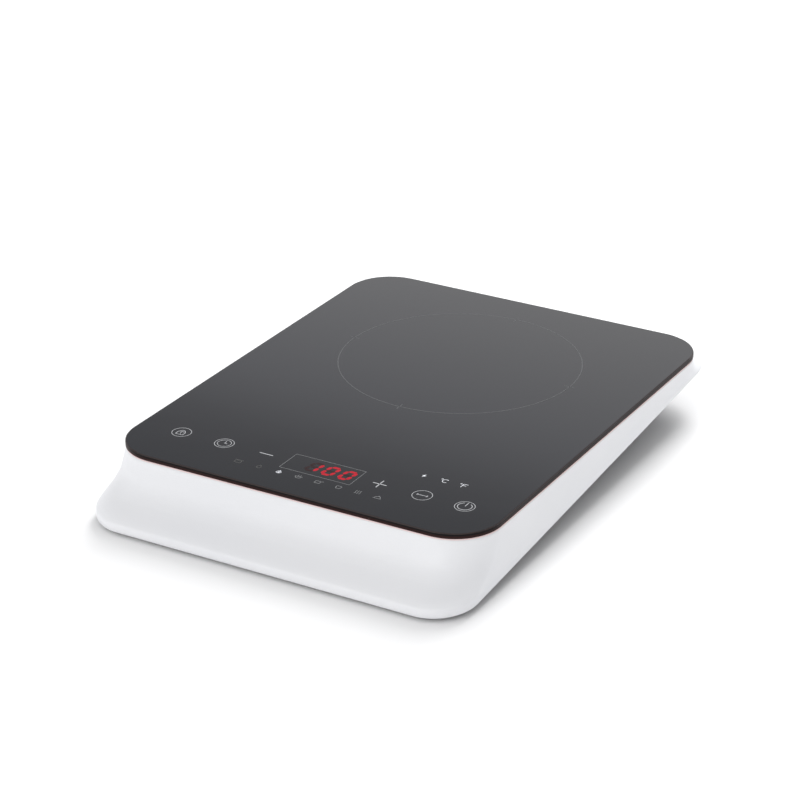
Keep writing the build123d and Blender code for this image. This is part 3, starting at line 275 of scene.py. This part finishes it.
# mica: pressed flakes
m = Mat("mica")
vo = m.n.new("ShaderNodeTexVoronoi")
vo.inputs["Scale"].default_value = 260.0
m.l.new(m.tc.outputs["Object"], vo.inputs["Vector"])
m.color(m.mix(0.3, m.ramp(m.noise(40.0), [(0.3, (0.62, 0.56, 0.42)), (0.7, (0.74, 0.68, 0.54))]), vo.outputs["Color"]))
m.rough(m.mapr(vo.outputs["Distance"], 0.3, 0.5, 0.0, 0.6))
m.bump(vo.outputs["Distance"], 0.15, 0.0001)
M["mica"] = m

# boards: solder mask over a faint net of tracks
for slot_name, c_mask, c_track in (("green_board", (0.020, 0.105, 0.045), (0.045, 0.17, 0.075)),
                                   ("brown_board", (0.26, 0.155, 0.055), (0.36, 0.22, 0.085))):
    m = Mat(slot_name)
    br = m.n.new("ShaderNodeTexBrick")
    br.offset = 0.37
    br.inputs["Scale"].default_value = 90.0
    br.inputs["Mortar Size"].default_value = 0.028
    br.inputs["Color1"].default_value = (*c_mask, 1)
    br.inputs["Color2"].default_value = (*shade(c_mask, 1.12), 1)
    br.inputs["Mortar"].default_value = (*c_track, 1)
    m.l.new(m.tc.outputs["Object"], br.inputs["Vector"])
    m.color(m.mix(m.mapr(m.noise(30.0), 0.0, 0.35), br.outputs["Color"], c_mask))
    m.rough(m.mapr(m.noise(120.0), 0.25, 0.4))
    m.bump(br.outputs["Fac"], 0.15, 0.0001)
    M[slot_name] = m

# glass fuse: clear body reads as pale glass with metal caps at the ends
m = plastic("fuse_glass", (0.62, 0.66, 0.66), (0.05, 0.12), 0.05, 500, 0.02)
M["fuse_glass"] = m

for sp in frame["record"]["subparts"]:
    ob = frame["nodes"][sp["node"]]
    mat = M[sp["material_slot"]].m
    for s in ob.material_slots:
        s.material = mat


# ------------------------------------------------------------------ mesh tools
def link(name, verts, faces, mat, body="housing", smooth=True, angle=32.0):
    me = bpy.data.meshes.new(name)
    me.from_pydata([tuple(v) for v in verts], [], faces)
    me.validate()
    me.update()
    ob = bpy.data.objects.new(name, me)
    bpy.context.scene.collection.objects.link(ob)
    me.materials.append(mat)
    if smooth:
        me.polygons.foreach_set("use_smooth", [True] * len(me.polygons))
        me.set_sharp_from_angle(angle=math.radians(angle))
    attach(ob, body)
    return ob


def pchip(xs, ys, q):
    """Monotone cubic through the points."""
    xs, ys, q = np.asarray(xs, float), np.asarray(ys, float), np.asarray(q, float)
    h, d = np.diff(xs), np.diff(ys) / np.diff(xs)
    s = np.zeros_like(ys)
    for i in range(1, len(xs) - 1):
        if d[i - 1] * d[i] > 0:
            w1, w2 = 2 * h[i] + h[i - 1], h[i] + 2 * h[i - 1]
            s[i] = (w1 + w2) / (w1 / d[i - 1] + w2 / d[i])
    s[0], s[-1] = d[0] * 0.5, d[-1]
    i = np.clip(np.searchsorted(xs, q) - 1, 0, len(h) - 1)
    t = (q - xs[i]) / h[i]
    return ((2 * t**3 - 3 * t**2 + 1) * ys[i] + (t**3 - 2 * t**2 + t) * h[i] * s[i]
            + (-2 * t**3 + 3 * t**2) * ys[i + 1] + (t**3 - t**2) * h[i] * s[i + 1])


def rounded(hw, yf, yr, rf, rr, nc=20, nx=14, ny=22):
    """Rounded rectangle, anticlockwise from the front right, always the same number of points."""
    pts = []

    def run(a, b, n):
        for t in np.linspace(0, 1, n, endpoint=False):
            pts.append((a[0] + (b[0] - a[0]) * t, a[1] + (b[1] - a[1]) * t))

    def arc(cx, cy, r, a0, n):
        for t in np.linspace(0, 1, n, endpoint=False):
            a = math.radians(a0 + 90 * t)
            pts.append((cx + r * math.cos(a), cy + r * math.sin(a)))

    run((-hw + rf, yf), (hw - rf, yf), nx)
    arc(hw - rf, yf + rf, rf, -90, nc)
    run((hw, yf + rf), (hw, yr - rr), ny)
    arc(hw - rr, yr - rr, rr, 0, nc)
    run((hw - rr, yr), (-hw + rr, yr), nx)
    arc(-hw + rr, yr - rr, rr, 90, nc)
    run((-hw, yr - rr), (-hw, yf + rf), ny)
    arc(-hw + rf, yf + rf, rf, 180, nc)
    return np.array(pts)


# ------------------------------------------------------------------ white skirt
SHELL_LO, SHELL_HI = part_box("upper_shell")
S_TOP = SHELL_HI.z / MM
FRONT_Y, REAR_Y = SHELL_LO.y / MM, SHELL_HI.y / MM
RIM_SLOPE = 0.0796
RIM_FRONT_Z = SHELL_LO.z / MM
G_W, G_L, G_Y, G_R = GW / MM, GL / MM, GY / MM, 34.8
F_SIDE, F_FRONT, F_REAR = SHELL_HI.x / MM - G_W / 2, (FRONT / MM) - FRONT_Y, REAR_Y - (GLASS_HI.y / MM)
VK = (0.0, 0.06, 0.12, 0.25, 0.38, 0.50, 0.62, 0.68, 0.74, 0.79, 0.84, 0.90, 0.95, 0.98, 1.0)
OK_ = (0.0, 0.010, 0.030, 0.090, 0.155, 0.262, 0.450, 0.595, 0.765, 0.900, 0.985, 1.0, 0.992, 0.972, 0.950)


def rim_z(y):
    return RIM_FRONT_Z + RIM_SLOPE * (y - FRONT_Y)


def skirt_ring(v, o, ins=0.0, ins_y=None):
    ins_y = ins if ins_y is None else ins_y
    hw = G_W / 2 + F_SIDE * o - ins
    yf = G_Y - G_L / 2 - F_FRONT * o + ins_y
    yr = G_Y + G_L / 2 + F_REAR * o - ins_y
    rf = G_R + (31.4 - G_R) * v - ins
    rr = G_R + (35.0 - G_R) * v - ins
    xy = rounded(hw, yf, yr, rf, rr)
    z = (1 - v) * S_TOP + v * rim_z(xy[:, 1])
    return np.c_[xy, z]


def flat_ring(hw, yf, yr, r, z):
    xy = rounded(hw, yf, yr, r, r)
    return np.c_[xy, np.full(len(xy), z)]


rings = []
OPEN = (120.0, -160.0, 171.0, 22.0)
rings.append(flat_ring(*OPEN, S_TOP))
rings.append(flat_ring(G_W / 2 - 2.0, G_Y - G_L / 2 + 2.0, G_Y + G_L / 2 - 2.0, G_R - 2.0, S_TOP))
for a in (90, 60, 30):
    r = 0.7
    i, dz = r - r * math.cos(math.radians(a)), r - r * math.sin(math.radians(a))
    ring = flat_ring(G_W / 2 - i, G_Y - G_L / 2 + i, G_Y + G_L / 2 - i, G_R - i, S_TOP - dz)
    rings.append(ring)
# outer wall, sampled down each column to where the rounded rim begins, whatever the depth there
O_RIM = float(pchip(VK, OK_, 1.0))
RIM_ROUND = 1.3
fine = np.stack([skirt_ring(v, float(pchip(VK, OK_, v))) for v in np.linspace(0, 1, 241)])
columns = np.arange(fine.shape[1])
v_end = 1 - RIM_ROUND / (S_TOP - fine[-1][:, 2])


def wall(t):
    q = v_end * t * (len(fine) - 1)
    q0 = np.floor(q).astype(int)
    f = (q - q0)[:, None]
    return fine[q0, columns] * (1 - f) + fine[np.minimum(q0 + 1, len(fine) - 1), columns] * f


for t in np.concatenate([np.linspace(0.052, 0.60, 22), np.linspace(0.615, 1.0, 38)]):
    rings.append(wall(t))
inward = skirt_ring(1.0, O_RIM, 1.0) - skirt_ring(1.0, O_RIM)
inward[:, 2] = 0
for a in (12, 24, 36, 48, 60, 72, 84, 90):
    b = math.radians(a)
    ring = wall(1.0) + inward * RIM_ROUND * (1 - math.cos(b))
    ring[:, 2] -= RIM_ROUND * math.sin(b)
    rings.append(ring)
rings.append(skirt_ring(1.0, O_RIM, 2.6, 2.8))
for v in np.linspace(0.97, 0.36, 22):
    rings.append(skirt_ring(v, float(pchip(VK, OK_, v)), 2.6, 3.5))
rings.append(flat_ring(G_W / 2 - 2.6, G_Y - G_L / 2 + 2.6, G_Y + G_L / 2 - 2.6, G_R - 2.6, S_TOP - 2.6))
rings.append(flat_ring(*OPEN, S_TOP - 2.6))
N = len(rings[0])
verts = np.vstack(rings) * MM
faces = []
for i in range(len(rings)):
    j = (i + 1) % len(rings)
    for k in range(N):
        k2 = (k + 1) % N
        faces.append((i * N + k, j * N + k, j * N + k2, i * N + k2))
skirt = link("white_skirt", verts, faces, M["white_shell"].m, angle=40)
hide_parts("upper_shell")


# ------------------------------------------------------------------ ground edge of the plate
em = Mat("plate_edge")
egeo = em.n.new("ShaderNodeSeparateXYZ")
em.l.new(em.tc.outputs["Object"], egeo.inputs[0])
# painted shade: between 46.5 mm and 47.8 mm up, the ground edge fades from its brown to near black, a painted dark line
# along the bevel
painted_bevel_shade = em.mapr(egeo.outputs["Z"], 0.0, 1.0, 0.0465, 0.0478)
grind = em.noise(900.0, 3.0, 0.6, (1.0, 1.0, 6.0))
brown = em.ramp(grind, [(0.3, (0.0230, 0.0085, 0.0078)), (0.7, (0.0320, 0.0120, 0.0108))])
em.color(em.mix(painted_bevel_shade, brown, (0.0045, 0.0040, 0.0040)))
em.rough(em.mapr(grind, 0.34, 0.46))
em.set(Specular_IOR_Level=0.10)
edge_rings = []
for off, z in ((-0.5, 45.42), (0.045, 45.42), (0.045, 48.12), (0.0, 48.30), (-0.5, 48.30)):
    hw = G_W / 2 + off
    edge_rings.append(flat_ring(hw, G_Y - G_L / 2 - off, G_Y + G_L / 2 + off, G_R + off, z))
ev = np.vstack(edge_rings) * MM
ef = []
n_e = len(edge_rings[0])
for i in range(len(edge_rings)):
    j = (i + 1) % len(edge_rings)
    for k in range(n_e):
        k2 = (k + 1) % n_e
        ef.append((i * n_e + k, i * n_e + k2, j * n_e + k2, j * n_e + k))
link("plate_edge", ev, ef, em.m, angle=30)

# ------------------------------------------------------------------ printed marks on the plate
def ink(name, c, rough=(0.35, 0.5)):
    m = Mat(name)
    m.color(m.ramp(m.noise(900.0, 3.0), [(0.25, shade(c, 0.82)), (0.65, shade(c, 1.05))]))
    m.rough(m.mapr(m.noise(300.0), rough[0], rough[1]))
    return m


INK = ink("ink_white", (0.46, 0.465, 0.48))
INK_LIT = ink("ink_lit", (0.66, 0.67, 0.70))
INK_LIT.b.inputs["Emission Color"].default_value = (0.9, 0.93, 1.0, 1.0)
INK_LIT.b.inputs["Emission Strength"].default_value = 0.22
INK_DIM = ink("ink_dim", (0.20, 0.202, 0.208))
INK_FAINT = ink("ink_faint", (0.070, 0.069, 0.066))
INK_ZONE = ink("ink_zone", (0.090, 0.091, 0.096))
LED = Mat("led_red")
LED.color(LED.ramp(LED.noise(700.0, 2.0), [(0.3, (0.22, 0.003, 0.008)), (0.7, (0.30, 0.005, 0.012))]))
LED.b.inputs["Emission Color"].default_value = (0.80, 0.010, 0.040, 1.0)
LED.b.inputs["Emission Strength"].default_value = 0.30
LED.b.inputs["Specular IOR Level"].default_value = 0.1
LED_OFF = ink("led_unlit", (0.026, 0.0105, 0.0115), (0.3, 0.4))
LED_OFF.b.inputs["Specular IOR Level"].default_value = 0.1
LED.b.inputs["Roughness"].default_value = 0.35

Z0 = TOP / MM
INK_T = 0.035


class Print:
    """Collects thin closed prisms that lie on the plate, in millimetres from the plate's centre line and front edge."""

    def __init__(self):
        self.v, self.f = [], []

    def prism(self, loop, t=INK_T):
        """loop: anticlockwise points."""
        n, s = len(loop), len(self.v)
        for x, y in loop:
            self.v.append((x, y, Z0 + 0.003))
        for x, y in loop:
            self.v.append((x, y, Z0 + t))
        self.f.append(tuple(s + n + i for i in range(n)))
        self.f.append(tuple(s + n - 1 - i for i in range(n)))
        for i in range(n):
            j = (i + 1) % n
            self.f.append((s + i, s + j, s + n + j, s + n + i))

    def ring(self, cx, cy, r, w, a0=0.0, a1=360.0, n=72, t=INK_T):
        closed = abs(a1 - a0) >= 359.9
        ang = np.radians(np.linspace(a0, a1, n + 1))
        if closed:
            ang = ang[:-1]
        ri, ro = r - w / 2, r + w / 2
        s, m = len(self.v), len(ang)
        for z in (Z0 + 0.003, Z0 + t):
            for rad in (ri, ro):
                for a in ang:
                    self.v.append((cx + rad * math.cos(a), cy + rad * math.sin(a), z))
        bi, bo, ti, to = s, s + m, s + 2 * m, s + 3 * m
        for i in range(m if closed else m - 1):
            j = (i + 1) % m
            self.f += [(ti + i, to + i, to + j, ti + j), (bi + j, bo + j, bo + i, bi + i),
                       (bo + i, bo + j, to + j, to + i), (bi + j, bi + i, ti + i, ti + j)]
        if not closed:
            e = m - 1
            self.f += [(bi, bo, to, ti), (bo + e, bi + e, ti + e, to + e)]

    def stroke(self, a, b, w):
        """Straight stroke with round ends."""
        (x0, y0), (x1, y1) = a, b
        d = math.atan2(y1 - y0, x1 - x0)
        loop = []
        for c, a0 in (((x1, y1), d - math.pi / 2), ((x0, y0), d + math.pi / 2)):
            for t in np.linspace(0, math.pi, 7):
                loop.append((c[0] + w / 2 * math.cos(a0 + t), c[1] + w / 2 * math.sin(a0 + t)))
        self.prism(loop)

    def path(self, pts, w):
        for a, b in zip(pts[:-1], pts[1:]):
            self.stroke(a, b, w)

    def rect(self, x0, y0, x1, y1, w, r=0.9):
        """Outline of a rectangle as one closed ring with rounded corners."""
        outer, inner = [], []
        for cx, cy, a0 in ((x1 - r, y0 + r, -90), (x1 - r, y1 - r, 0), (x0 + r, y1 - r, 90), (x0 + r, y0 + r, 180)):
            for t in np.linspace(0, 90, 7):
                a = math.radians(a0 + t)
                outer.append((cx + (r + w / 2) * math.cos(a), cy + (r + w / 2) * math.sin(a)))
                inner.append((cx + max(0.05, r - w / 2) * math.cos(a), cy + max(0.05, r - w / 2) * math.sin(a)))
        s, m = len(self.v), len(outer)
        for z in (Z0 + 0.003, Z0 + INK_T):
            for loop in (inner, outer):
                for x, y in loop:
                    self.v.append((x, y, z))
        bi, bo, ti, to = s, s + m, s + 2 * m, s + 3 * m
        for i in range(m):
            j = (i + 1) % m
            self.f += [(ti + i, to + i, to + j, ti + j), (bi + j, bo + j, bo + i, bi + i),
                       (bo + i, bo + j, to + j, to + i), (bi + j, bi + i, ti + i, ti + j)]

    def disc(self, cx, cy, r, n=28):
        self.prism([(cx + r * math.cos(a), cy + r * math.sin(a)) for a in np.linspace(0, 2 * math.pi, n, endpoint=False)])

    def make(self, name, mat, slot_name="print_grey"):
        v = [(x * MM, y * MM, z * MM) for x, y, z in self.v]
        return link(name, v, self.f, mat.m, smooth=False)


FY = FRONT / MM
KEY_Y = FY + 43.2
PROG_Y = FY + 24.6
UNIT_Y = FY + 67.8

keys = Print()
R = 6.9
LW = 0.42
# lock
x = -110.7
keys.ring(x, KEY_Y, R, LW)
keys.rect(x - 2.9, KEY_Y - 3.6, x + 2.9, KEY_Y + 0.9, 0.55, 0.8)
keys.ring(x, KEY_Y + 0.9, 2.0, 0.55, 0, 180, 20)
keys.stroke((x, KEY_Y - 1.9), (x, KEY_Y - 0.7), 0.6)
# timer
x = -75.3
keys.ring(x, KEY_Y, R, LW)
keys.ring(x, KEY_Y, 4.9, LW)
keys.path([(x, KEY_Y + 3.0), (x, KEY_Y), (x + 2.1, KEY_Y)], 0.55)
# minus and plus
keys.stroke((-46.0, KEY_Y), (-36.0, KEY_Y), 0.85)
keys.stroke((44.3, KEY_Y - 0.9), (54.1, KEY_Y - 0.9), 0.85)
keys.stroke((49.2, KEY_Y - 6.0), (49.2, KEY_Y + 4.2), 0.85)
# range key: double-ended bar
x = 82.0
keys.ring(x, KEY_Y - 1.3, R, LW)
keys.stroke((x - 4.3, KEY_Y - 1.3), (x + 4.3, KEY_Y - 1.3), 0.55)
for s in (-1, 1):
    keys.path([(x + s * 3.4, KEY_Y - 0.3), (x + s * 4.3, KEY_Y - 1.3), (x + s * 3.4, KEY_Y - 2.3)], 0.45)
# power
x = 114.2
keys.ring(x, KEY_Y - 1.5, R, LW)
keys.ring(x, KEY_Y - 1.5, 4.9, 0.55, 118, 422, 60)
keys.stroke((x, KEY_Y - 0.9), (x, KEY_Y + 3.6), 0.6)
keys.make("key_marks", INK)

disp = Print()
disp.rect(-23.0, FY + 31.0, 32.2, FY + 53.6, 0.36, 0.5)
disp.make("display_outline", INK_DIM)


# slanted seven-segment digits
def digit(p, x, y, h, w, t, segs, slant=math.tan(math.radians(9))):
    m = h / 2
    gap = 0.22

    def pt(a, b):
        return (x + a + b * slant, y + b)

    def seg_h(b):
        return [pt(t * 0.55 + gap, b), pt(t + gap, b - t / 2), pt(w - t - gap, b - t / 2), pt(w - t * 0.55 - gap, b),
                pt(w - t - gap, b + t / 2), pt(t + gap, b + t / 2)]

    def seg_v(a, b0, b1):
        return [pt(a, b0 + gap), pt(a + t / 2, b0 + t / 2 + gap), pt(a + t / 2, b1 - t / 2 - gap), pt(a, b1 - gap),
                pt(a - t / 2, b1 - t / 2 - gap), pt(a - t / 2, b0 + t / 2 + gap)]

    shapes = {"a": seg_h(h - t / 2), "g": seg_h(m), "d": seg_h(t / 2),
              "f": seg_v(t / 2, m, h - t / 2), "b": seg_v(w - t / 2, m, h - t / 2),
              "e": seg_v(t / 2, t / 2, m), "c": seg_v(w - t / 2, t / 2, m)}
    for s in segs:
        p.prism(shapes[s])


led, unlit = Print(), Print()
DH, DW, DT = 14.4, 9.5, 2.6
for x, segs in ((-7.9, "bc"), (5.1, "abcdef"), (18.1, "abcdef")):
    digit(led, x, FY + 35.2, DH, DW, DT, segs)
    digit(unlit, x, FY + 35.2, DH, DW, DT, [c for c in "abcdefg" if c not in segs])
unlit.make("display_unlit_segments", LED_OFF, "display_black")
led.make("display_digits", LED, "display_red")

# small programme marks: generic cooking symbols
faint, dim, bright = Print(), Print(), Print()
PX = (-51.8, -35.0, -19.1, -3.7, 12.0, 27.7, 42.6, 58.0)
W = 0.5
# pot with lid
x = PX[0]
faint.rect(x - 2.4, PROG_Y - 2.0, x + 2.4, PROG_Y + 1.0, W, 0.5)
faint.stroke((x - 2.9, PROG_Y + 1.9), (x + 2.9, PROG_Y + 1.9), W)
# drop
x = PX[1]
faint.ring(x, PROG_Y - 0.6, 1.6, W, -220, 40, 24)
faint.path([(x - 1.25, PROG_Y + 0.45), (x, PROG_Y + 2.5), (x + 1.25, PROG_Y + 0.45)], W)
# flame, lit
x = PX[2]
bright.path([(x - 1.2, PROG_Y - 1.8), (x + 1.1, PROG_Y - 1.8), (x + 1.8, PROG_Y - 0.4), (x + 1.0, PROG_Y + 0.9), (x + 0.5, PROG_Y + 0.1), (x + 0.1, PROG_Y + 2.1), (x - 1.3, PROG_Y + 0.8), (x - 1.9, PROG_Y - 0.5), (x - 1.2, PROG_Y - 1.8)], 0.42)
bright.prism([(x - 0.6, PROG_Y - 1.4), (x + 0.7, PROG_Y - 1.4), (x + 0.9, PROG_Y - 0.6), (x, PROG_Y + 0.5), (x - 0.9, PROG_Y - 0.6)])
# bowl with steam
x = PX[3]
dim.ring(x, PROG_Y + 0.3, 2.3, W, 180, 360, 20)
dim.stroke((x - 2.8, PROG_Y + 0.3), (x + 2.8, PROG_Y + 0.3), W)
dim.stroke((x - 0.9, PROG_Y + 1.2), (x - 0.9, PROG_Y + 2.3), W)
dim.stroke((x + 0.9, PROG_Y + 1.2), (x + 0.9, PROG_Y + 2.3), W)
# saucepan
x = PX[4]
dim.rect(x - 2.4, PROG_Y - 1.9, x + 1.5, PROG_Y + 1.1, W, 0.5)
dim.stroke((x + 1.6, PROG_Y + 0.8), (x + 3.2, PROG_Y + 1.5), W)
# cup
x = PX[5]
dim.path([(x - 2.1, PROG_Y + 1.6), (x - 1.5, PROG_Y - 1.9), (x + 1.5, PROG_Y - 1.9), (x + 2.1, PROG_Y + 1.6), (x - 2.1, PROG_Y + 1.6)], W)
# three steam lines
x = PX[6]
for s in (-1.7, 0.0, 1.7):
    dim.path([(x + s, PROG_Y - 2.0), (x + s + 0.5, PROG_Y - 0.6), (x + s - 0.4, PROG_Y + 0.7), (x + s + 0.1, PROG_Y + 2.1)], W)
# keep-warm dish
x = PX[7]
dim.ring(x, PROG_Y - 0.9, 2.2, W, 0, 180, 20)
dim.stroke((x - 2.9, PROG_Y - 1.5), (x + 2.9, PROG_Y - 1.5), W)
dim.disc(x, PROG_Y + 1.9, 0.5)
faint.make("programme_marks_faint", INK_FAINT)
dim.make("programme_marks", INK_DIM)

# unit marks: level, degrees C, degrees F
x = 68.9
bright.prism([(x - 1.6, UNIT_Y - 0.1), (x - 0.2, UNIT_Y - 0.2), (x - 0.9, UNIT_Y - 2.3), (x + 1.6, UNIT_Y + 0.3), (x + 0.3, UNIT_Y + 0.4), (x + 1.0, UNIT_Y + 2.3)])
x = 84.8
bright.ring(x - 2.7, UNIT_Y + 1.9, 0.5, 0.34, n=20)
bright.ring(x + 0.6, UNIT_Y, 2.2, 0.46, 48, 312, 26)
x = 99.2
bright.ring(x - 2.6, UNIT_Y + 1.9, 0.5, 0.34, n=20)
bright.path([(x - 1.0, UNIT_Y - 2.4), (x - 1.0, UNIT_Y + 2.3), (x + 2.2, UNIT_Y + 2.3)], 0.46)
bright.stroke((x - 1.0, UNIT_Y + 0.1), (x + 1.6, UNIT_Y + 0.1), 0.46)
bright.make("lit_marks", INK_LIT)

# cooking zone ring over the winding
zone = Print()
zone.ring(cc[0] / MM, cc[1] / MM, 90.0, 0.6, n=180)
for a in range(0, 360, 90):
    c, s = math.cos(math.radians(a)), math.sin(math.radians(a))
    zone.stroke((cc[0] / MM + 86 * c, cc[1] / MM + 86 * s), (cc[0] / MM + 94 * c, cc[1] / MM + 94 * s), 0.6)
zone.make("zone_ring", INK_ZONE)

# ------------------------------------------------------------------ floor, world, lights
fm = Mat("floor")
fm.color(fm.ramp(fm.noise(3.0, 2.0), [(0.3, (0.93, 0.93, 0.93)), (0.7, (0.95, 0.95, 0.95))]))
fm.b.inputs["Roughness"].default_value = 0.9
fm.b.inputs["Specular IOR Level"].default_value = 0.1
me = bpy.data.meshes.new("floor")
me.from_pydata([(-12, -12, 0), (12, -12, 0), (12, 12, 0), (-12, 12, 0)], [], [(0, 1, 2, 3)])
me.materials.append(fm.m)
floor = bpy.data.objects.new("floor", me)
bpy.context.scene.collection.objects.link(floor)

world = bpy.data.worlds.new("studio")
bpy.context.scene.world = world
world.use_nodes = True
wn, wl = world.node_tree.nodes, world.node_tree.links
wn.clear()
w_out = wn.new("ShaderNodeOutputWorld")
w_bg = wn.new("ShaderNodeBackground")
w_tc = wn.new("ShaderNodeTexCoord")
w_sep = wn.new("ShaderNodeSeparateXYZ")
wl.new(w_tc.outputs["Generated"], w_sep.inputs[0])


def w_math(op, a, b, clamp=False):
    m = wn.new("ShaderNodeMath")
    m.operation = op
    m.use_clamp = clamp
    for sock, v in zip(m.inputs, (a, b)):
        if isinstance(v, bpy.types.NodeSocket):
            wl.new(v, sock)
        else:
            sock.default_value = v
    return m.outputs[0]


# an even white studio, with a darker wall behind the object that fades into a bright sweep
w_y, w_z = w_sep.outputs["Y"], w_sep.outputs["Z"]
w_q = w_math("SUBTRACT", w_y, w_math("MULTIPLY", w_z, 1.6))
w_ramp = wn.new("ShaderNodeValToRGB")
wl.new(w_math("ADD", w_q, 0.5, True), w_ramp.inputs["Fac"])
e = w_ramp.color_ramp.elements
e[0].position, e[0].color = 0.52, (0.330, 0.343, 0.372, 1)
e[1].position, e[1].color = 0.72, (1.06, 1.06, 1.08, 1)
for pos, val in ((0.56, 0.43), (0.59, 0.64), (0.61, 0.74)):
    n_ = e.new(pos)
    n_.color = (val * 0.97, val * 0.985, val * 1.05, 1)
w_mask = w_math("MULTIPLY",
                w_math("MULTIPLY", w_math("SUBTRACT", w_y, 0.25), 3.3, True),
                w_math("MULTIPLY", w_math("SUBTRACT", 0.80, w_z), 5.0, True))
w_mix = wn.new("ShaderNodeMix")
w_mix.data_type = "RGBA"
wl.new(w_mask, w_mix.inputs["Factor"])
# the right of the room is dimmer, so the right side of the skirt reads darker than the front
w_right = w_math("MULTIPLY",
                 w_math("MULTIPLY", w_math("SUBTRACT", w_sep.outputs["X"], 0.40), 2.5, True),
                 w_math("MULTIPLY", w_math("SUBTRACT", 0.80, w_z), 4.0, True))
w_base = wn.new("ShaderNodeMix")
w_base.data_type = "RGBA"
wl.new(w_right, w_base.inputs["Factor"])
w_base.inputs[6].default_value = (0.745, 0.745, 0.75, 1)
w_base.inputs[7].default_value = (0.480, 0.480, 0.488, 1)
wl.new(w_base.outputs[2], w_mix.inputs[6])
wl.new(w_ramp.outputs["Color"], w_mix.inputs[7])
wl.new(w_mix.outputs[2], w_bg.inputs["Color"])
w_bg.inputs["Strength"].default_value = 1.0
wl.new(w_bg.outputs["Background"], w_out.inputs["Surface"])


def area(name, loc, aim, size, power, size_y=None):
    d = bpy.data.lights.new(name, "AREA")
    d.shape = "RECTANGLE"
    d.size, d.size_y = size, size_y or size
    d.energy = power
    o = bpy.data.objects.new(name, d)
    o.location = loc
    o.rotation_euler = (Vector(aim) - Vector(loc)).to_track_quat("-Z", "Y").to_euler()
    o.visible_camera = False
    bpy.context.scene.collection.objects.link(o)
    return o


area("top", (-0.2, 2.1, 1.9), (0, 0, 0), 1.25, 66.0).visible_glossy = False
area("front", (-0.3, -2.75, 1.3), (0, 0, 0.1), 1.8, 20.0)

bpy.context.scene.view_settings.view_transform = "Standard"

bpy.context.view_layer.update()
